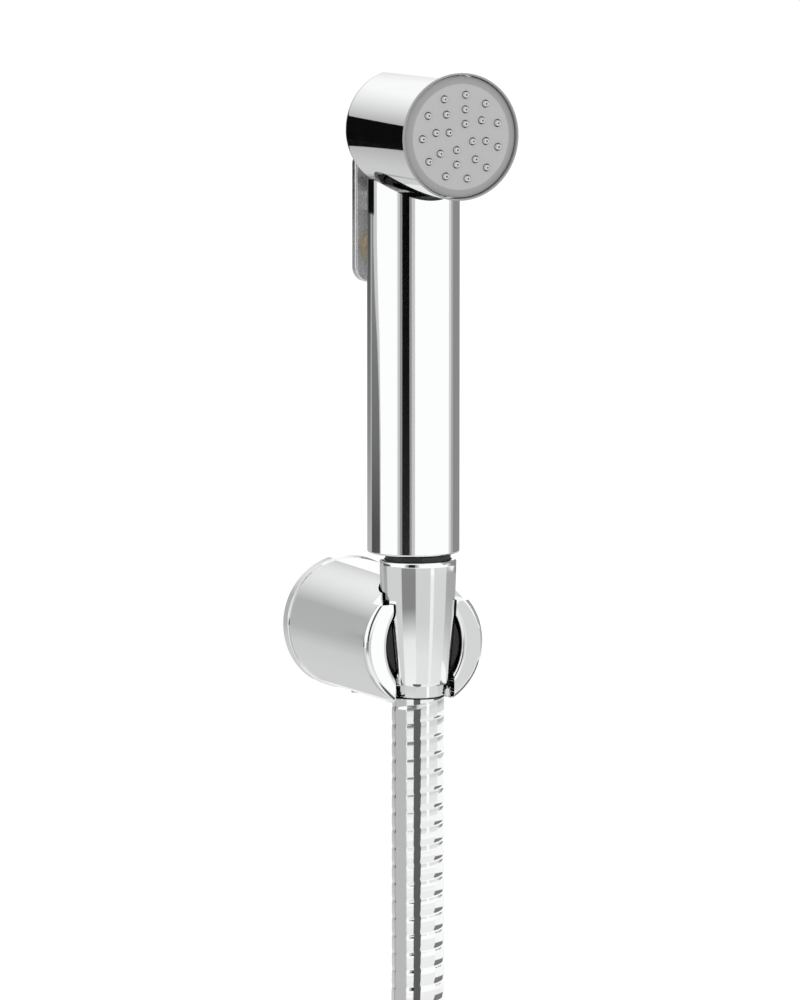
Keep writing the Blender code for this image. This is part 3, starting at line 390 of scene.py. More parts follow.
class Finish:
    """A Principled material whose varying values are made from the object's own coordinates."""

    def __init__(self, name, colour, roughness, metallic=0.0):
        self.material = bpy.data.materials.new(name)
        self.material.use_nodes = True
        self.tree = self.material.node_tree
        self.shader = self.tree.nodes["Principled BSDF"]
        self.shader.inputs["Base Color"].default_value = (*colour, 1.0)
        self.shader.inputs["Roughness"].default_value = roughness
        self.shader.inputs["Metallic"].default_value = metallic
        self.place = Socket.node(self.tree, "ShaderNodeTexCoord", {}, "Object")

    def noise(self, scale, detail=2.0):
        inputs = {"Vector": self.place, "Scale": scale, "Detail": detail}
        return Socket.node(self.tree, "ShaderNodeTexNoise", inputs)

    def drive(self, key, value):
        self.tree.links.new(value.output, self.shader.inputs[key])

    def bump(self, height, strength, distance):
        inputs = {"Height": height, "Strength": strength, "Distance": distance}
        self.drive("Normal", Socket.node(self.tree, "ShaderNodeBump", inputs))


def chrome_finish(name, extra_roughness=0.0):
    """Plated metal, slightly uneven in its gloss."""
    settings = bpy.context.scene.bidet_metal
    low = settings.chrome_roughness + extra_roughness
    made = Finish(name, settings.chrome_colour, low, metallic=1.0)
    uneven = made.noise(CHROME_GRAIN).ramp(NOISE_LOW, NOISE_HIGH, low, low + CHROME_VARIATION)
    made.drive("Roughness", uneven)
    return made


def plain_finish(name, colour, roughness, metallic=0.0, grain=900.0, depth=0.00003):
    """A moulded or turned surface with a fine grain."""
    made = Finish(name, colour, roughness, metallic)
    noise = made.noise(grain, GRAIN_DETAIL)
    low = roughness - GRAIN_VARIATION
    high = roughness + GRAIN_VARIATION
    made.drive("Roughness", noise.ramp(NOISE_LOW, NOISE_HIGH, low, high))
    made.bump(noise, GRAIN_STRENGTH, depth)
    return made


def from_head_axis(place):
    """How far a place is from the spray head's axis."""
    across = place.axis("X")
    up = place.axis("Z") - HEAD_Z
    return (across * across + up * up).math("POWER", 0.5)


def arc(centre_r, centre_z, radius, start_deg, end_deg, count=12):
    """Points along an arc, angles counted up from the +r direction."""
    points = []
    for index in range(count + 1):
        angle = math.radians(start_deg + (end_deg - start_deg) * index / count)
        points.append((centre_r + radius * math.cos(angle), centre_z + radius * math.sin(angle)))
    return points


def around(azimuth_deg, radius, height):
    """A place round the handle, at an azimuth counted as the camera's is."""
    angle = math.radians(azimuth_deg)
    return (radius * math.sin(angle), HANDLE_Y - radius * math.cos(angle), height)


def add_mesh(name, shape):
    """Turn a finished bmesh into an object of the scene."""
    mesh = bpy.data.meshes.new(name)
    shape.to_mesh(mesh)
    shape.free()
    piece = bpy.data.objects.new(name, mesh)
    bpy.context.scene.collection.objects.link(piece)
    return piece


def lathe(name, profile, place=(0, 0, 0), turn=UPRIGHT, ring=False, steps=None):
    """Turn a profile of (radius, height) points about its upright axis, then turn and place the piece.

    A ring's profile is closed from its last point to its first.
    """
    count = steps or bpy.context.scene.bidet_shape.turning_steps
    shape = bmesh.new()
    angles = [2 * math.pi * index / count for index in range(count)]
    rings = []
    for radius, height in profile:
        if radius < MERGE:
            rings.append([shape.verts.new((0.0, 0.0, height))])
            continue
        rings.append([shape.verts.new((radius * math.cos(a), radius * math.sin(a), height)) for a in angles])
    pairs = list(zip(rings, rings[1:]))
    if ring:
        pairs.append((rings[-1], rings[0]))
    for upper, lower in pairs:
        for index in range(count):
            after = index + 1
            corners = [
                upper[index % len(upper)],
                upper[after % len(upper)],
                lower[after % len(lower)],
                lower[index % len(lower)],
            ]
            shape.faces.new(list(dict.fromkeys(corners)))
    bmesh.ops.recalc_face_normals(shape, faces=shape.faces)
    bmesh.ops.transform(shape, matrix=Matrix.Translation(place) @ turn, verts=shape.verts)
    return add_mesh(name, shape)


def rod(radius, low, high):
    """The profile of a solid cylinder."""
    return [(0.0, high), (radius, high), (radius, low), (0.0, low)]


def box(name, low, high):
    """A rectangular cutter between two corners."""
    shape = bmesh.new()
    bmesh.ops.create_cube(shape, size=1.0)
    size = Vector(high) - Vector(low)
    middle = (Vector(high) + Vector(low)) / 2
    matrix = Matrix.Translation(middle) @ Matrix.Diagonal((*size, 1.0))
    bmesh.ops.transform(shape, matrix=matrix, verts=shape.verts)
    return add_mesh(name, shape)


def combine(piece, tool, operation="DIFFERENCE"):
    """Cut a piece with a tool, or join or intersect them, and delete the tool."""
    modifier = piece.modifiers.new("combine", "BOOLEAN")
    modifier.operation = operation
    modifier.object = tool
    modifier.solver = "EXACT"
    apply_modifiers(piece)
    bpy.data.objects.remove(tool, do_unlink=True)


def apply_modifiers(piece):
    """Make a piece's modifiers part of its mesh."""
    evaluated = piece.evaluated_get(bpy.context.evaluated_depsgraph_get())
    mesh = bpy.data.meshes.new_from_object(evaluated)
    piece.modifiers.clear()
    piece.data = mesh


def soften(piece, width, segments, angle_deg=35.0):
    """Round the sharp edges of a piece."""
    modifier = piece.modifiers.new("edges", "BEVEL")
    modifier.width = width
    modifier.segments = segments
    modifier.limit_method = "ANGLE"
    modifier.angle_limit = math.radians(angle_deg)
    apply_modifiers(piece)


def weigh_normals(piece):
    """Let large faces set the shading at their edges, so that straight sides reflect straight."""
    modifier = piece.modifiers.new("shading", "WEIGHTED_NORMAL")
    modifier.weight = 100
    modifier.keep_sharp = True
    apply_modifiers(piece)


def dress(piece, finish, body, nodes, sharp_deg=28.0):
    """Give a piece its smooth shading, finish, slot and body, and the nodes that it stands for."""
    piece.data.materials.clear()
    piece.data.materials.append(finish.material)
    for face in piece.data.polygons:
        face.use_smooth = True
        face.material_index = 0
    piece.data.set_sharp_from_angle(angle=math.radians(sharp_deg))
    weigh_normals(piece)
    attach(piece, body)
    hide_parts(*nodes)
    return piece


def paint(node, finish):
    """Give a shown node a finer finish through its material slots."""
    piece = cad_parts[node]
    for slot in piece.material_slots:
        slot.link = "OBJECT"
        slot.material = finish.material


def nut_radius(height):
    """The cone nut's radius at a height: its sides bulge a little."""
    share = (NUT_TOP - height) / NUT_HEIGHT
    drop = (1 - NUT_BULGE) * share + NUT_BULGE * share * share
    return NUT_TOP_RADIUS - (NUT_TOP_RADIUS - NUT_FOOT_RADIUS) * drop


def nut_side(grow, high, low, count=24):
    """The cone nut's side as a profile, from the top down."""
    heights = [high + (low - high) * index / count for index in range(count + 1)]
    return [(nut_radius(height) + grow, height) for height in heights]


def seat_cutter(grow):
    """The cone nut's shape with a clearance, open above and below."""
    reach = 2 * HOLDER_REAR_RADIUS
    side = nut_side(grow, NUT_TOP, NUT_FOOT)
    profile = [(0.0, reach), (side[0][0], reach)] + side + [(side[-1][0], -reach), (0.0, -reach)]
    return lathe("seat_cutter", profile, (0, NUT_Y, 0))


def slot_cutter(grow):
    """The slot that lets the hose in from the front."""
    half = HOSE_RADIUS + grow
    reach = 2 * HOLDER_REAR_RADIUS
    return box("slot_cutter", (-half, NUT_Y - 2 * NUT_SETBACK, -reach), (half, NUT_Y, reach))


def mouth_cutter():
    """The holder's oval mouth, flared in front for the rounded edge of its lip."""
    flare = MOUTH_RADIUS + LIP_INNER_ROUND
    low = HOLDER_LENGTH - LIP_THICKNESS - GAP
    profile = [(0.0, HOLDER_LENGTH + OVERSHOOT), (flare, HOLDER_LENGTH + OVERSHOOT)]
    profile += arc(flare, HOLDER_LENGTH - LIP_INNER_ROUND, LIP_INNER_ROUND, 90, 180)
    profile += [(MOUTH_RADIUS, low), (0.0, low)]
    return lathe("mouth_cutter", profile, turn=Matrix.Diagonal((1.0, 1.0, MOUTH_STRETCH, 1.0)) @ TO_FRONT)


def head_side(grow):
    """The head's outer profile behind its rim, to the middle of its back."""
    round_radius = HEAD_REAR_ROUND + grow
    rear = HEAD_REAR_RADIUS + grow
    return arc(rear - round_radius, round_radius - grow, round_radius, 0, -90, 20) + [(0.0, -grow)]


def jet_places():
    """Where the jets stand on the spray face, ring by ring."""
    for radius, count, first_deg in JET_RINGS:
        for index in range(count):
            angle = math.radians(90 - first_deg - 360 * index / count)
            yield radius * math.cos(angle), radius * math.sin(angle)


def joined(name, pieces):
    """Join meshes into one object."""
    shape = bmesh.new()
    for piece in pieces:
        shape.from_mesh(piece.data)
        bpy.data.objects.remove(piece, do_unlink=True)
    return add_mesh(name, shape)


def on_curve(before, start, end, after, share):
    """The place at a share of the way from start to end, on a curve that bends with their neighbours."""
    bend = (2 * before - 5 * start + 4 * end - after) * share * share
    twist = (3 * start - before - 3 * end + after) * share ** 3
    return start + ((end - before) * share + bend + twist) / 2


def smooth_route(points, per_span):
    """Points along the smooth curve through the given ones."""
    padded = [Vector(point) for point in (points[0], *points, points[-1])]
    route = []
    for index in range(1, len(padded) - 2):
        for step in range(per_span):
            route.append(on_curve(*padded[index - 1:index + 3], step / per_span))
    route.append(padded[-1])
    return route


def hose_route():
    """The hose's centreline: the listed drop, the coil's turns and the straight tail."""
    coil = []
    for degrees in range(COIL_ENTRY_DEG, COIL_EXIT_DEG + 1, COIL_STEP_DEG):
        angle = math.radians(degrees)
        y = NUT_Y + COIL_PITCH * (degrees - COIL_ENTRY_DEG) / 360
        coil.append(Vector((COIL_RADIUS * math.cos(angle), y, COIL_Z + COIL_RADIUS * math.sin(angle))))
    chosen = [(x, NUT_Y, z) for x, z in HOSE_DROP_ROUTE]
    drop = smooth_route([*chosen, tuple(coil[0])], DROP_STEPS)
    tail = []
    for index in range(1, TAIL_STEPS + 1):
        tail.append(Vector((-COIL_RADIUS, COIL_LAST_Y, COIL_Z + (END_Z - COIL_Z) * index / TAIL_STEPS)))
    return drop[:-1] + coil + tail


class Line:
    """A route measured by its length, with cross directions that don't twist."""

    def __init__(self, points):
        self.points = points
        self.lengths = [0.0]
        for start, end in zip(points, points[1:]):
            self.lengths.append(self.lengths[-1] + (end - start).length)
        self.total = self.lengths[-1]
        self.sides = []
        self.ups = []
        side = Vector((1.0, 0.0, 0.0))
        for index in range(len(points)):
            before = points[max(index - 1, 0)]
            after = points[min(index + 1, len(points) - 1)]
            tangent = (after - before).normalized()
            side = (side - tangent * side.dot(tangent)).normalized()
            self.sides.append(side)
            self.ups.append(tangent.cross(side))
        self.index = 0

    def at(self, length):
        """The place and the two cross directions at a length from the start."""
        length = min(max(length, 0.0), self.total)
        while self.index and self.lengths[self.index] > length:
            self.index -= 1
        while self.index < len(self.points) - 2 and self.lengths[self.index + 1] < length:
            self.index += 1
        near = self.index
        far = near + 1
        share = (length - self.lengths[near]) / (self.lengths[far] - self.lengths[near])
        side = self.sides[near].lerp(self.sides[far], share)
        up = self.ups[near].lerp(self.ups[far], share)
        before = self.points[max(near - 1, 0)]
        after = self.points[min(far + 1, len(self.points) - 1)]
        place = on_curve(before, self.points[near], self.points[far], after, share)
        return place, side.normalized(), up.normalized()


def ridged_tube(name, route, radius, pitch, depth, sides):
    """A hose of wound strip: rounded bands with a groove between them that winds round it."""
    line = Line(route)
    turns = int(line.total / pitch) + 2
    shape = bmesh.new()
    rows = []
    for turn in range(-1, turns):
        for share, cut in STRIP_PROFILE:
            row = []
            for side in range(sides):
                angle = 2 * math.pi * side / sides
                length = (turn + share + side / sides) * pitch
                place, across, up = line.at(length)
                outward = across * math.cos(angle) + up * math.sin(angle)
                row.append(shape.verts.new(place + outward * (radius - depth * cut)))
            rows.append(row)
    for index in range(len(rows) - 1):
        for side in range(sides):
            near = rows[index]
            far = rows[index + 1]
            if side < sides - 1:
                shape.faces.new((near[side], far[side], far[side + 1], near[side + 1]))
            elif index + 1 + len(STRIP_PROFILE) < len(rows):
                near_next = rows[index + len(STRIP_PROFILE)]
                far_next = rows[index + 1 + len(STRIP_PROFILE)]
                shape.faces.new((near[side], far[side], far_next[0], near_next[0]))
    bmesh.ops.remove_doubles(shape, verts=shape.verts, dist=MERGE)
    bmesh.ops.dissolve_degenerate(shape, edges=shape.edges, dist=MERGE)
    loose = [vert for vert in shape.verts if not vert.link_faces]
    bmesh.ops.delete(shape, geom=loose, context="VERTS")
    bmesh.ops.holes_fill(shape, edges=shape.edges, sides=0)
    bmesh.ops.recalc_face_normals(shape, faces=shape.faces)
    return add_mesh(name, shape)


class BIDET_OT_holder(bpy.types.Operator):
    """Make the wall holder's shell and the black seat inside it"""

    bl_idname = "bidet.make_holder"
    bl_label = "Make the wall holder"

    def execute(self, context):
        inner = HOLDER_BORE_RADIUS
        foot_radius = HOLDER_REAR_RADIUS + FOOT_FLARE
        wall_edge = MOUTH_RADIUS - GAP
        outer_round = HOLDER_LENGTH - LIP_OUTER_ROUND
        profile = [(wall_edge, HOLDER_LENGTH)]
        profile += arc(HOLDER_FRONT_RADIUS - LIP_OUTER_ROUND, outer_round, LIP_OUTER_ROUND, 90, 0, 20)
        profile += [(HOLDER_REAR_RADIUS, FOOT_WIDTH)]
        profile += arc(foot_radius - FOOT_FLARE, FOOT_WIDTH - 2 * FOOT_FLARE, FOOT_FLARE, 60, 0, 5)
        profile += [
            (foot_radius, 0.0),
            (inner, 0.0),
            (inner, HOLDER_LENGTH - LIP_THICKNESS),
            (wall_edge, HOLDER_LENGTH - LIP_THICKNESS),
        ]
        shell = lathe("holder_skin", profile, turn=TO_FRONT, ring=True)
        combine(shell, mouth_cutter())
        combine(shell, seat_cutter(2 * GAP))
        combine(shell, slot_cutter(SLOT_GAP))
        tip_low = (-LIP_TIP_REACH, NUT_Y - 2 * NUT_SETBACK, LIP_TIP_HEIGHT)
        combine(shell, box("lip_tip_cutter", tip_low, (LIP_TIP_REACH, NUT_Y, 2 * HOLDER_REAR_RADIUS)))
        grub_hole = rod(GRUB_HOLE_RADIUS, 0.0, 2 * HOLDER_REAR_RADIUS)
        grub_place = (0, -GRUB_FROM_WALL, 0)
        combine(shell, lathe("grub_hole", grub_hole, grub_place, UPSIDE_DOWN, steps=HOLE_STEPS))
        soften(shell, HOLDER_EDGE_ROUND, segments=2, angle_deg=50.0)
        dress(shell, chrome_finish("holder_chrome"), "handset_and_holder", ["holder_shell"])

        seat_top = HOLDER_LENGTH - LIP_THICKNESS - GAP
        nose = seat_top + SEAT_NOSE
        profile = [(0.0, nose)]
        profile += arc(wall_edge - SEAT_NOSE_ROUND, nose - SEAT_NOSE_ROUND, SEAT_NOSE_ROUND, 90, 0, 5)
        profile += [
            (wall_edge, seat_top),
            (inner - GAP, seat_top),
            (inner - GAP, SEAT_BACK),
            (SEAT_POCKET_RADIUS, SEAT_BACK),
            (SEAT_POCKET_RADIUS, SEAT_BACK + SEAT_POCKET_DEPTH),
            (0.0, SEAT_BACK + SEAT_POCKET_DEPTH),
        ]
        seat = lathe("holder_seat", profile, turn=TO_FRONT)
        combine(seat, seat_cutter(GAP))
        combine(seat, slot_cutter(GAP))
        black = plain_finish("seat_plastic", (0.004, 0.004, 0.004), 0.5)
        dress(seat, black, "handset_and_holder", ["seat_insert"])
        return {"FINISHED"}


class BIDET_OT_handset(bpy.types.Operator):
    """Make the handle's sleeve and the spray head's housing"""

    bl_idname = "bidet.make_handset"
    bl_label = "Make the handset"

    def execute(self, context):
        bore = HANDLE_RADIUS - HANDLE_WALL
        top = HEAD_Z - HEAD_RADIUS / 2
        foot_round = HANDLE_WALL / 2
        profile = [(bore, top), (HANDLE_RADIUS, top)]
        profile += arc(HANDLE_RADIUS - foot_round, HANDLE_FOOT + foot_round, foot_round, 0, -180, 10)
        sleeve = lathe("handle_skin", profile, (0, HANDLE_Y, 0), ring=True, steps=FINE_STEPS)
        saddle = [(0.0, HEAD_LENGTH), (HEAD_RADIUS + SADDLE_GAP, HEAD_LENGTH)] + head_side(SADDLE_GAP)
        combine(sleeve, lathe("saddle_cutter", saddle, (0, HANDLE_BACK_Y, HEAD_Z), TO_FRONT))
        gland = rod(GLAND_HOLE_RADIUS, 0.0, 2 * HANDLE_RADIUS)
        combine(sleeve, lathe("gland_hole", gland, (0, HANDLE_Y, VALVE_Z), TO_WALL, steps=GLAND_STEPS))
        half = HINGE_WIDTH / 2 + GAP
        notch_low = (-half, HANDLE_BACK_Y - HANDLE_RADIUS / 2, PIVOT[2] - EYE_RADIUS - 2 * GAP)
        notch_high = (half, HANDLE_BACK_Y + HANDLE_RADIUS / 2, HEAD_Z)
        combine(sleeve, box("hinge_notch", notch_low, notch_high))
        plating = chrome_finish("handle_chrome")
        dress(sleeve, plating, "handset_and_holder", ["handle_sleeve"])

        mouth = HEAD_RADIUS - HEAD_RIM
        rim = HEAD_RIM / 2
        step = MAT_LOW - SEAL_THICKNESS - 2 * GAP
        profile = [
            (0.0, HEAD_BACK_THICKNESS),
            (HEAD_CAVITY_RADIUS, HEAD_BACK_THICKNESS),
            (HEAD_CAVITY_RADIUS, step),
            (mouth, step),
        ]
        profile += arc(mouth + rim, HEAD_LENGTH - rim, rim, 180, 0, 14)
        profile += head_side(0.0)
        housing = lathe("head_skin", profile, (0, HANDLE_BACK_Y, HEAD_Z), TO_FRONT, steps=FINE_STEPS)
        plating = chrome_finish("head_chrome")
        self.satin_rim(plating, context.scene.bidet_metal)
        dress(housing, plating, "handset_and_holder", ["head_housing"])
        return {"FINISHED"}

    def satin_rim(self, finish, settings):
        """Make the head's narrow front rim and the wall inside it satin grey, in the grey that is painted as
        shade on the plate's edge.
        """
        along = finish.place.axis("Y")
        start = HANDLE_BACK_Y - HEAD_LENGTH + HEAD_RIM
        inner = HEAD_RADIUS - HEAD_RIM
        front = along.ramp(start, start - HEAD_RIM / 6)
        mouth = from_head_axis(finish.place).ramp(inner + HEAD_RIM / 3, inner + HEAD_RIM / 6)
        near = along.ramp(start + HEAD_RIM * 8, start + HEAD_RIM * 7)
        share = front.math("MAXIMUM", mouth * near)
        plated = Socket(finish.tree, finish.shader.inputs["Roughness"].links[0].from_socket)
        finish.drive("Base Color", share.between(settings.chrome_colour, settings.rim_grey_and_edge_shade_colour))
        finish.drive("Roughness", plated + share * RIM_ROUGHNESS)
        finish.drive("Metallic", 1.0 - share)


class BIDET_OT_spray_face(bpy.types.Operator):
    """Make the satin spray plate and the soft jets that stand out of it"""

    bl_idname = "bidet.make_spray_face"
    bl_label = "Make the spray face"

    def execute(self, context):
        settings = context.scene.bidet_metal
        edge = HEAD_RADIUS - HEAD_RIM - GAP
        place = (0, HANDLE_BACK_Y, HEAD_Z)
        profile = [
            (0.0, FACE_HIGH),
            (edge - 3 * FACE_BEVEL, FACE_HIGH),
            (edge, FACE_HIGH - FACE_BEVEL),
            (edge, FACE_LOW),
            (0.0, FACE_LOW),
        ]
        face = lathe("spray_plate_skin", profile, place, TO_FRONT)
        hole = rod(NUB_RADIUS + GAP / 3, FACE_LOW - OVERSHOOT, NUB_HIGH)
        jet_end = NUB_HIGH - JET_DEPTH
        nub = [(0.0, jet_end), (JET_RADIUS, jet_end), (JET_RADIUS, NUB_HIGH)]
        nub += arc(NUB_TIP_RADIUS - NUB_ROUND, NUB_HIGH - NUB_ROUND, NUB_ROUND, 90, 10, 4)
        nub += [(NUB_RADIUS, MAT_HIGH), (0.0, MAT_HIGH)]
        holes = []
        nubs = []
        for x, z in jet_places():
            spot = (x, HANDLE_BACK_Y, HEAD_Z + z)
            holes.append(lathe("jet_hole", hole, spot, TO_FRONT, steps=JET_STEPS))
            nubs.append(lathe("jet_nub", nub, spot, TO_FRONT, steps=JET_STEPS))
        combine(face, joined("jet_holes", holes))
        satin = plain_finish("face_satin", settings.face_colour, 0.42, grain=1500.0, depth=0.00002)
        # Painted shade: a darker ring round the plate's edge
        self.paint_edge_shade(satin, edge, settings)
        dress(face, satin, "handset_and_holder", ["spray_plate"], sharp_deg=20.0)
        nubs.append(lathe("mat_base", rod(edge, MAT_LOW, MAT_HIGH), place, TO_FRONT))
        mat = joined("jet_mat", nubs)
        soft = plain_finish("jet_rubber", settings.jet_colour, 0.5)
        dress(mat, soft, "handset_and_holder", ["nozzle_mat"], sharp_deg=40.0)
        return {"FINISHED"}

    def paint_edge_shade(self, finish, edge, settings):
        """Painted shade: a slightly darker ring round the plate's bevelled edge, by the distance from its
        middle.
        """
        share = from_head_axis(finish.place).ramp(edge - EDGE_SHADE_RING, edge - EDGE_SHADE_RING + GAP)
        finish.drive("Base Color", share.between(settings.face_colour, settings.rim_grey_and_edge_shade_colour))


class BIDET_OT_trigger(bpy.types.Operator):
    """Make the trigger lever with its two eyes"""

    bl_idname = "bidet.make_trigger"
    bl_label = "Make the trigger"

    def execute(self, context):
        lever = self.plate("lever_skin", self.lever_outline(), LEVER_THICKNESS)
        turn = Matrix.Translation((0, LEVER_FRONT_Y + LEVER_THICKNESS / 2, 0)) @ TO_FRONT
        lever.data.transform(turn)
        soften(lever, LEVER_THICKNESS / 4, segments=4)
        reach = LEVER_FRONT_Y - PIVOT[1] + LEVER_THICKNESS / 3
        outline = [(reach, EYE_RADIUS)] + arc(0.0, 0.0, EYE_RADIUS, 90, 270, 24) + [(reach, -EYE_RADIUS)]
        across = Matrix.Rotation(math.pi / 2, 4, "Z") @ TO_FRONT
        for side in (-1, 1):
            eye = self.plate("lever_eye", outline, EYE_THICKNESS)
            eye_x = side * (HINGE_WIDTH / 2 + GAP + EYE_THICKNESS / 2)
            eye.data.transform(Matrix.Translation((eye_x, PIVOT[1], PIVOT[2])) @ across)
            combine(lever, eye, "UNION")
        pin_hole = rod(PIN_HOLE_RADIUS, -LEVER_WIDTH, LEVER_WIDTH)
        combine(lever, lathe("pin_hole", pin_hole, PIVOT, TO_RIGHT, steps=HOLE_STEPS))
        colour = context.scene.bidet_metal.lever_colour
        satin = plain_finish("lever_satin", colour, 0.3, metallic=1.0, depth=0.00001)
        dress(lever, satin, "trigger", ["trigger_lever"])
        return {"FINISHED"}

    def lever_outline(self):
        """The lever's rounded rectangle, as x and z."""
        x = LEVER_WIDTH / 2 - LEVER_CORNER
        middle = (LEVER_LOW + LEVER_HIGH) / 2
        z = (LEVER_HIGH - LEVER_LOW) / 2 - LEVER_CORNER
        points = []
        for centre_x, centre_z, start in ((x, z, 0), (-x, z, 90), (-x, -z, 180), (x, -z, 270)):
            points.extend(arc(centre_x, middle + centre_z, LEVER_CORNER, start, start + 90, 10))
        return points

    def plate(self, name, outline, thickness):
        """A flat plate of an outline, its thickness centred on its plane."""
        shape = bmesh.new()
        corners = [shape.verts.new((x, y, -thickness / 2)) for x, y in outline]
        flat = shape.faces.new(corners)
        grown = bmesh.ops.extrude_face_region(shape, geom=[flat])
        moved = [item for item in grown["geom"] if isinstance(item, bmesh.types.BMVert)]
        bmesh.ops.translate(shape, verts=moved, vec=(0.0, 0.0, thickness))
        bmesh.ops.recalc_face_normals(shape, faces=shape.faces)
        return add_mesh(name, shape)


class BIDET_OT_cone_nut(bpy.types.Operator):
    """Make the cone nut that rests in the holder's seat"""

    bl_idname = "bidet.make_cone_nut"
    bl_label = "Make the cone nut"

    def execute(self, context):
        profile = arc(NUT_TOP_RADIUS - NUT_ROUND, NUT_TOP - NUT_ROUND, NUT_ROUND, 90, 0, 8)
        profile += nut_side(0.0, NUT_TOP - 2 * NUT_ROUND, NUT_FOOT + NUT_ROUND, 32)
        profile += arc(NUT_FOOT_RADIUS - NUT_ROUND / 2, NUT_FOOT + NUT_ROUND / 2, NUT_ROUND / 2, 0, -90, 6)
        profile += [
            (NUT_FOOT_BORE, NUT_FOOT),
            (NUT_FOOT_BORE, NUT_SHOULDER),
            (THREAD_BORE, NUT_SHOULDER),
            (THREAD_BORE, NUT_TOP),
        ]
        nut = lathe("cone_nut_skin", profile, (0, NUT_Y, 0), ring=True)
        plating = chrome_finish("nut_chrome", extra_roughness=0.01)
        dress(nut, plating, "handset_and_holder", ["cone_nut"])
        return {"FINISHED"}


class BIDET_OT_hose(bpy.types.Operator):
    """Make the ribbed hose with its coil, its sleeves and the ties round the coil"""

    bl_idname = "bidet.make_hose"
    bl_label = "Make the hose"

    def execute(self, context):
        settings = context.scene.bidet_shape
        route = hose_route()
        hose = ridged_tube(
            "hose_skin", route, HOSE_RADIUS, settings.ridge_pitch, settings.ridge_depth, settings.hose_sides)
        nodes = ["hose_drop", "hose_coil", "hose_tail"]
        plating = chrome_finish("hose_chrome", extra_roughness=0.03)
        dress(hose, plating, "hose", nodes, sharp_deg=50.0)
        top = self.sleeve("sleeve_top_skin", (0, NUT_Y, SLEEVE_FOOT), UPRIGHT)
        end_place = (-COIL_RADIUS, COIL_LAST_Y, END_SLEEVE_Z)
        end = self.sleeve("sleeve_end_skin", end_place, UPSIDE_DOWN)
        dress(top, chrome_finish("sleeve_top_chrome"), "hose", ["hose_sleeve_top"])
        dress(end, chrome_finish("sleeve_end_chrome"), "hose", ["hose_sleeve_end"])
        nut = self.end_nut(end_place)
        dress(nut, chrome_finish("end_nut_chrome"), "tap_nut", ["end_nut"], sharp_deg=24.0)
        strap = plain_finish("tie_plastic", (0.03, 0.03, 0.03), 0.5)
        for name, side, first_y, last_y in (
                ("coil_tie_left_skin", -1, NUT_Y + COIL_PITCH / 6, COIL_LAST_Y),
                ("coil_tie_right_skin", 1, NUT_Y + COIL_PITCH * 2 / 3, COIL_LAST_Y - COIL_PITCH / 2),
        ):
            tie = self.tie(name, side * COIL_RADIUS, first_y, last_y)
            dress(tie, strap, "hose", [name.replace("_skin", "")])
        return {"FINISHED"}

    def sleeve(self, name, place, turn):
        """The turned sleeve on a hose end, its flange up."""
        low = SLEEVE_LENGTH - SLEEVE_FLANGE
        profile = [
            (SLEEVE_BORE, SLEEVE_LENGTH),
            (SLEEVE_FLANGE_RADIUS, SLEEVE_LENGTH),
            (SLEEVE_FLANGE_RADIUS, low),
            (SLEEVE_RADIUS, low),
            (SLEEVE_RADIUS, SLEEVE_EDGE),
            (SLEEVE_RADIUS - SLEEVE_EDGE, 0.0),
            (SLEEVE_BORE, 0.0),
        ]
        return lathe(name, profile, place, turn, ring=True)

    def end_nut(self, place):
        """The hexagon nut on the free end, with turned chamfers."""
        chamfer = END_NUT_RADIUS - END_NUT_FLAT
        profile = [
            (THREAD_BORE, END_NUT_MOUTH),
            (END_NUT_FLAT, END_NUT_MOUTH),
            (END_NUT_RADIUS, END_NUT_MOUTH - chamfer),
            (END_NUT_RADIUS, END_NUT_LOW + 2 * chamfer),
            (END_NUT_FLAT - END_NUT_CHAMFER, END_NUT_LOW),
            (NUT_FOOT_BORE, END_NUT_LOW),
            (NUT_FOOT_BORE, END_NUT_SHOULDER),
            (THREAD_BORE, END_NUT_SHOULDER),
        ]
        nut = lathe("end_nut_skin", profile, place, UPSIDE_DOWN, ring=True)
        corner = END_NUT_FLAT / math.cos(math.pi / 6)
        hexagon = rod(corner, END_NUT_LOW - OVERSHOOT, END_NUT_MOUTH + OVERSHOOT)
        combine(nut, lathe("hexagon", hexagon, place, UPSIDE_DOWN, steps=6), "INTERSECT")
        return nut

    def tie(self, name, x, first_y, last_y):
        """A flat strap round the turns of the coil where they cross the height of its middle."""
        half_depth = (last_y - first_y) / 2
        middle_y = (first_y + last_y) / 2
        outline = []
        for grow in (HOSE_RADIUS + GAP, HOSE_RADIUS + GAP + TIE_THICKNESS):
            loop = arc(0.0, half_depth, grow, 0, 180, 20) + arc(0.0, -half_depth, grow, 180, 360, 20)
            outline.append(loop)
        shape = bmesh.new()
        rows = []
        for loop, z in ((outline[0], -1), (outline[1], -1), (outline[1], 1), (outline[0], 1)):
            height = COIL_Z + z * TIE_WIDTH / 2
            rows.append([shape.verts.new((x + across, middle_y + along, height)) for across, along in loop])
        for near, far in zip(rows, rows[1:] + rows[:1]):
            for index in range(len(near)):
                after = (index + 1) % len(near)
                shape.faces.new((near[index], near[after], far[after], far[index]))
        bmesh.ops.recalc_face_normals(shape, faces=shape.faces)
        return add_mesh(name, shape)


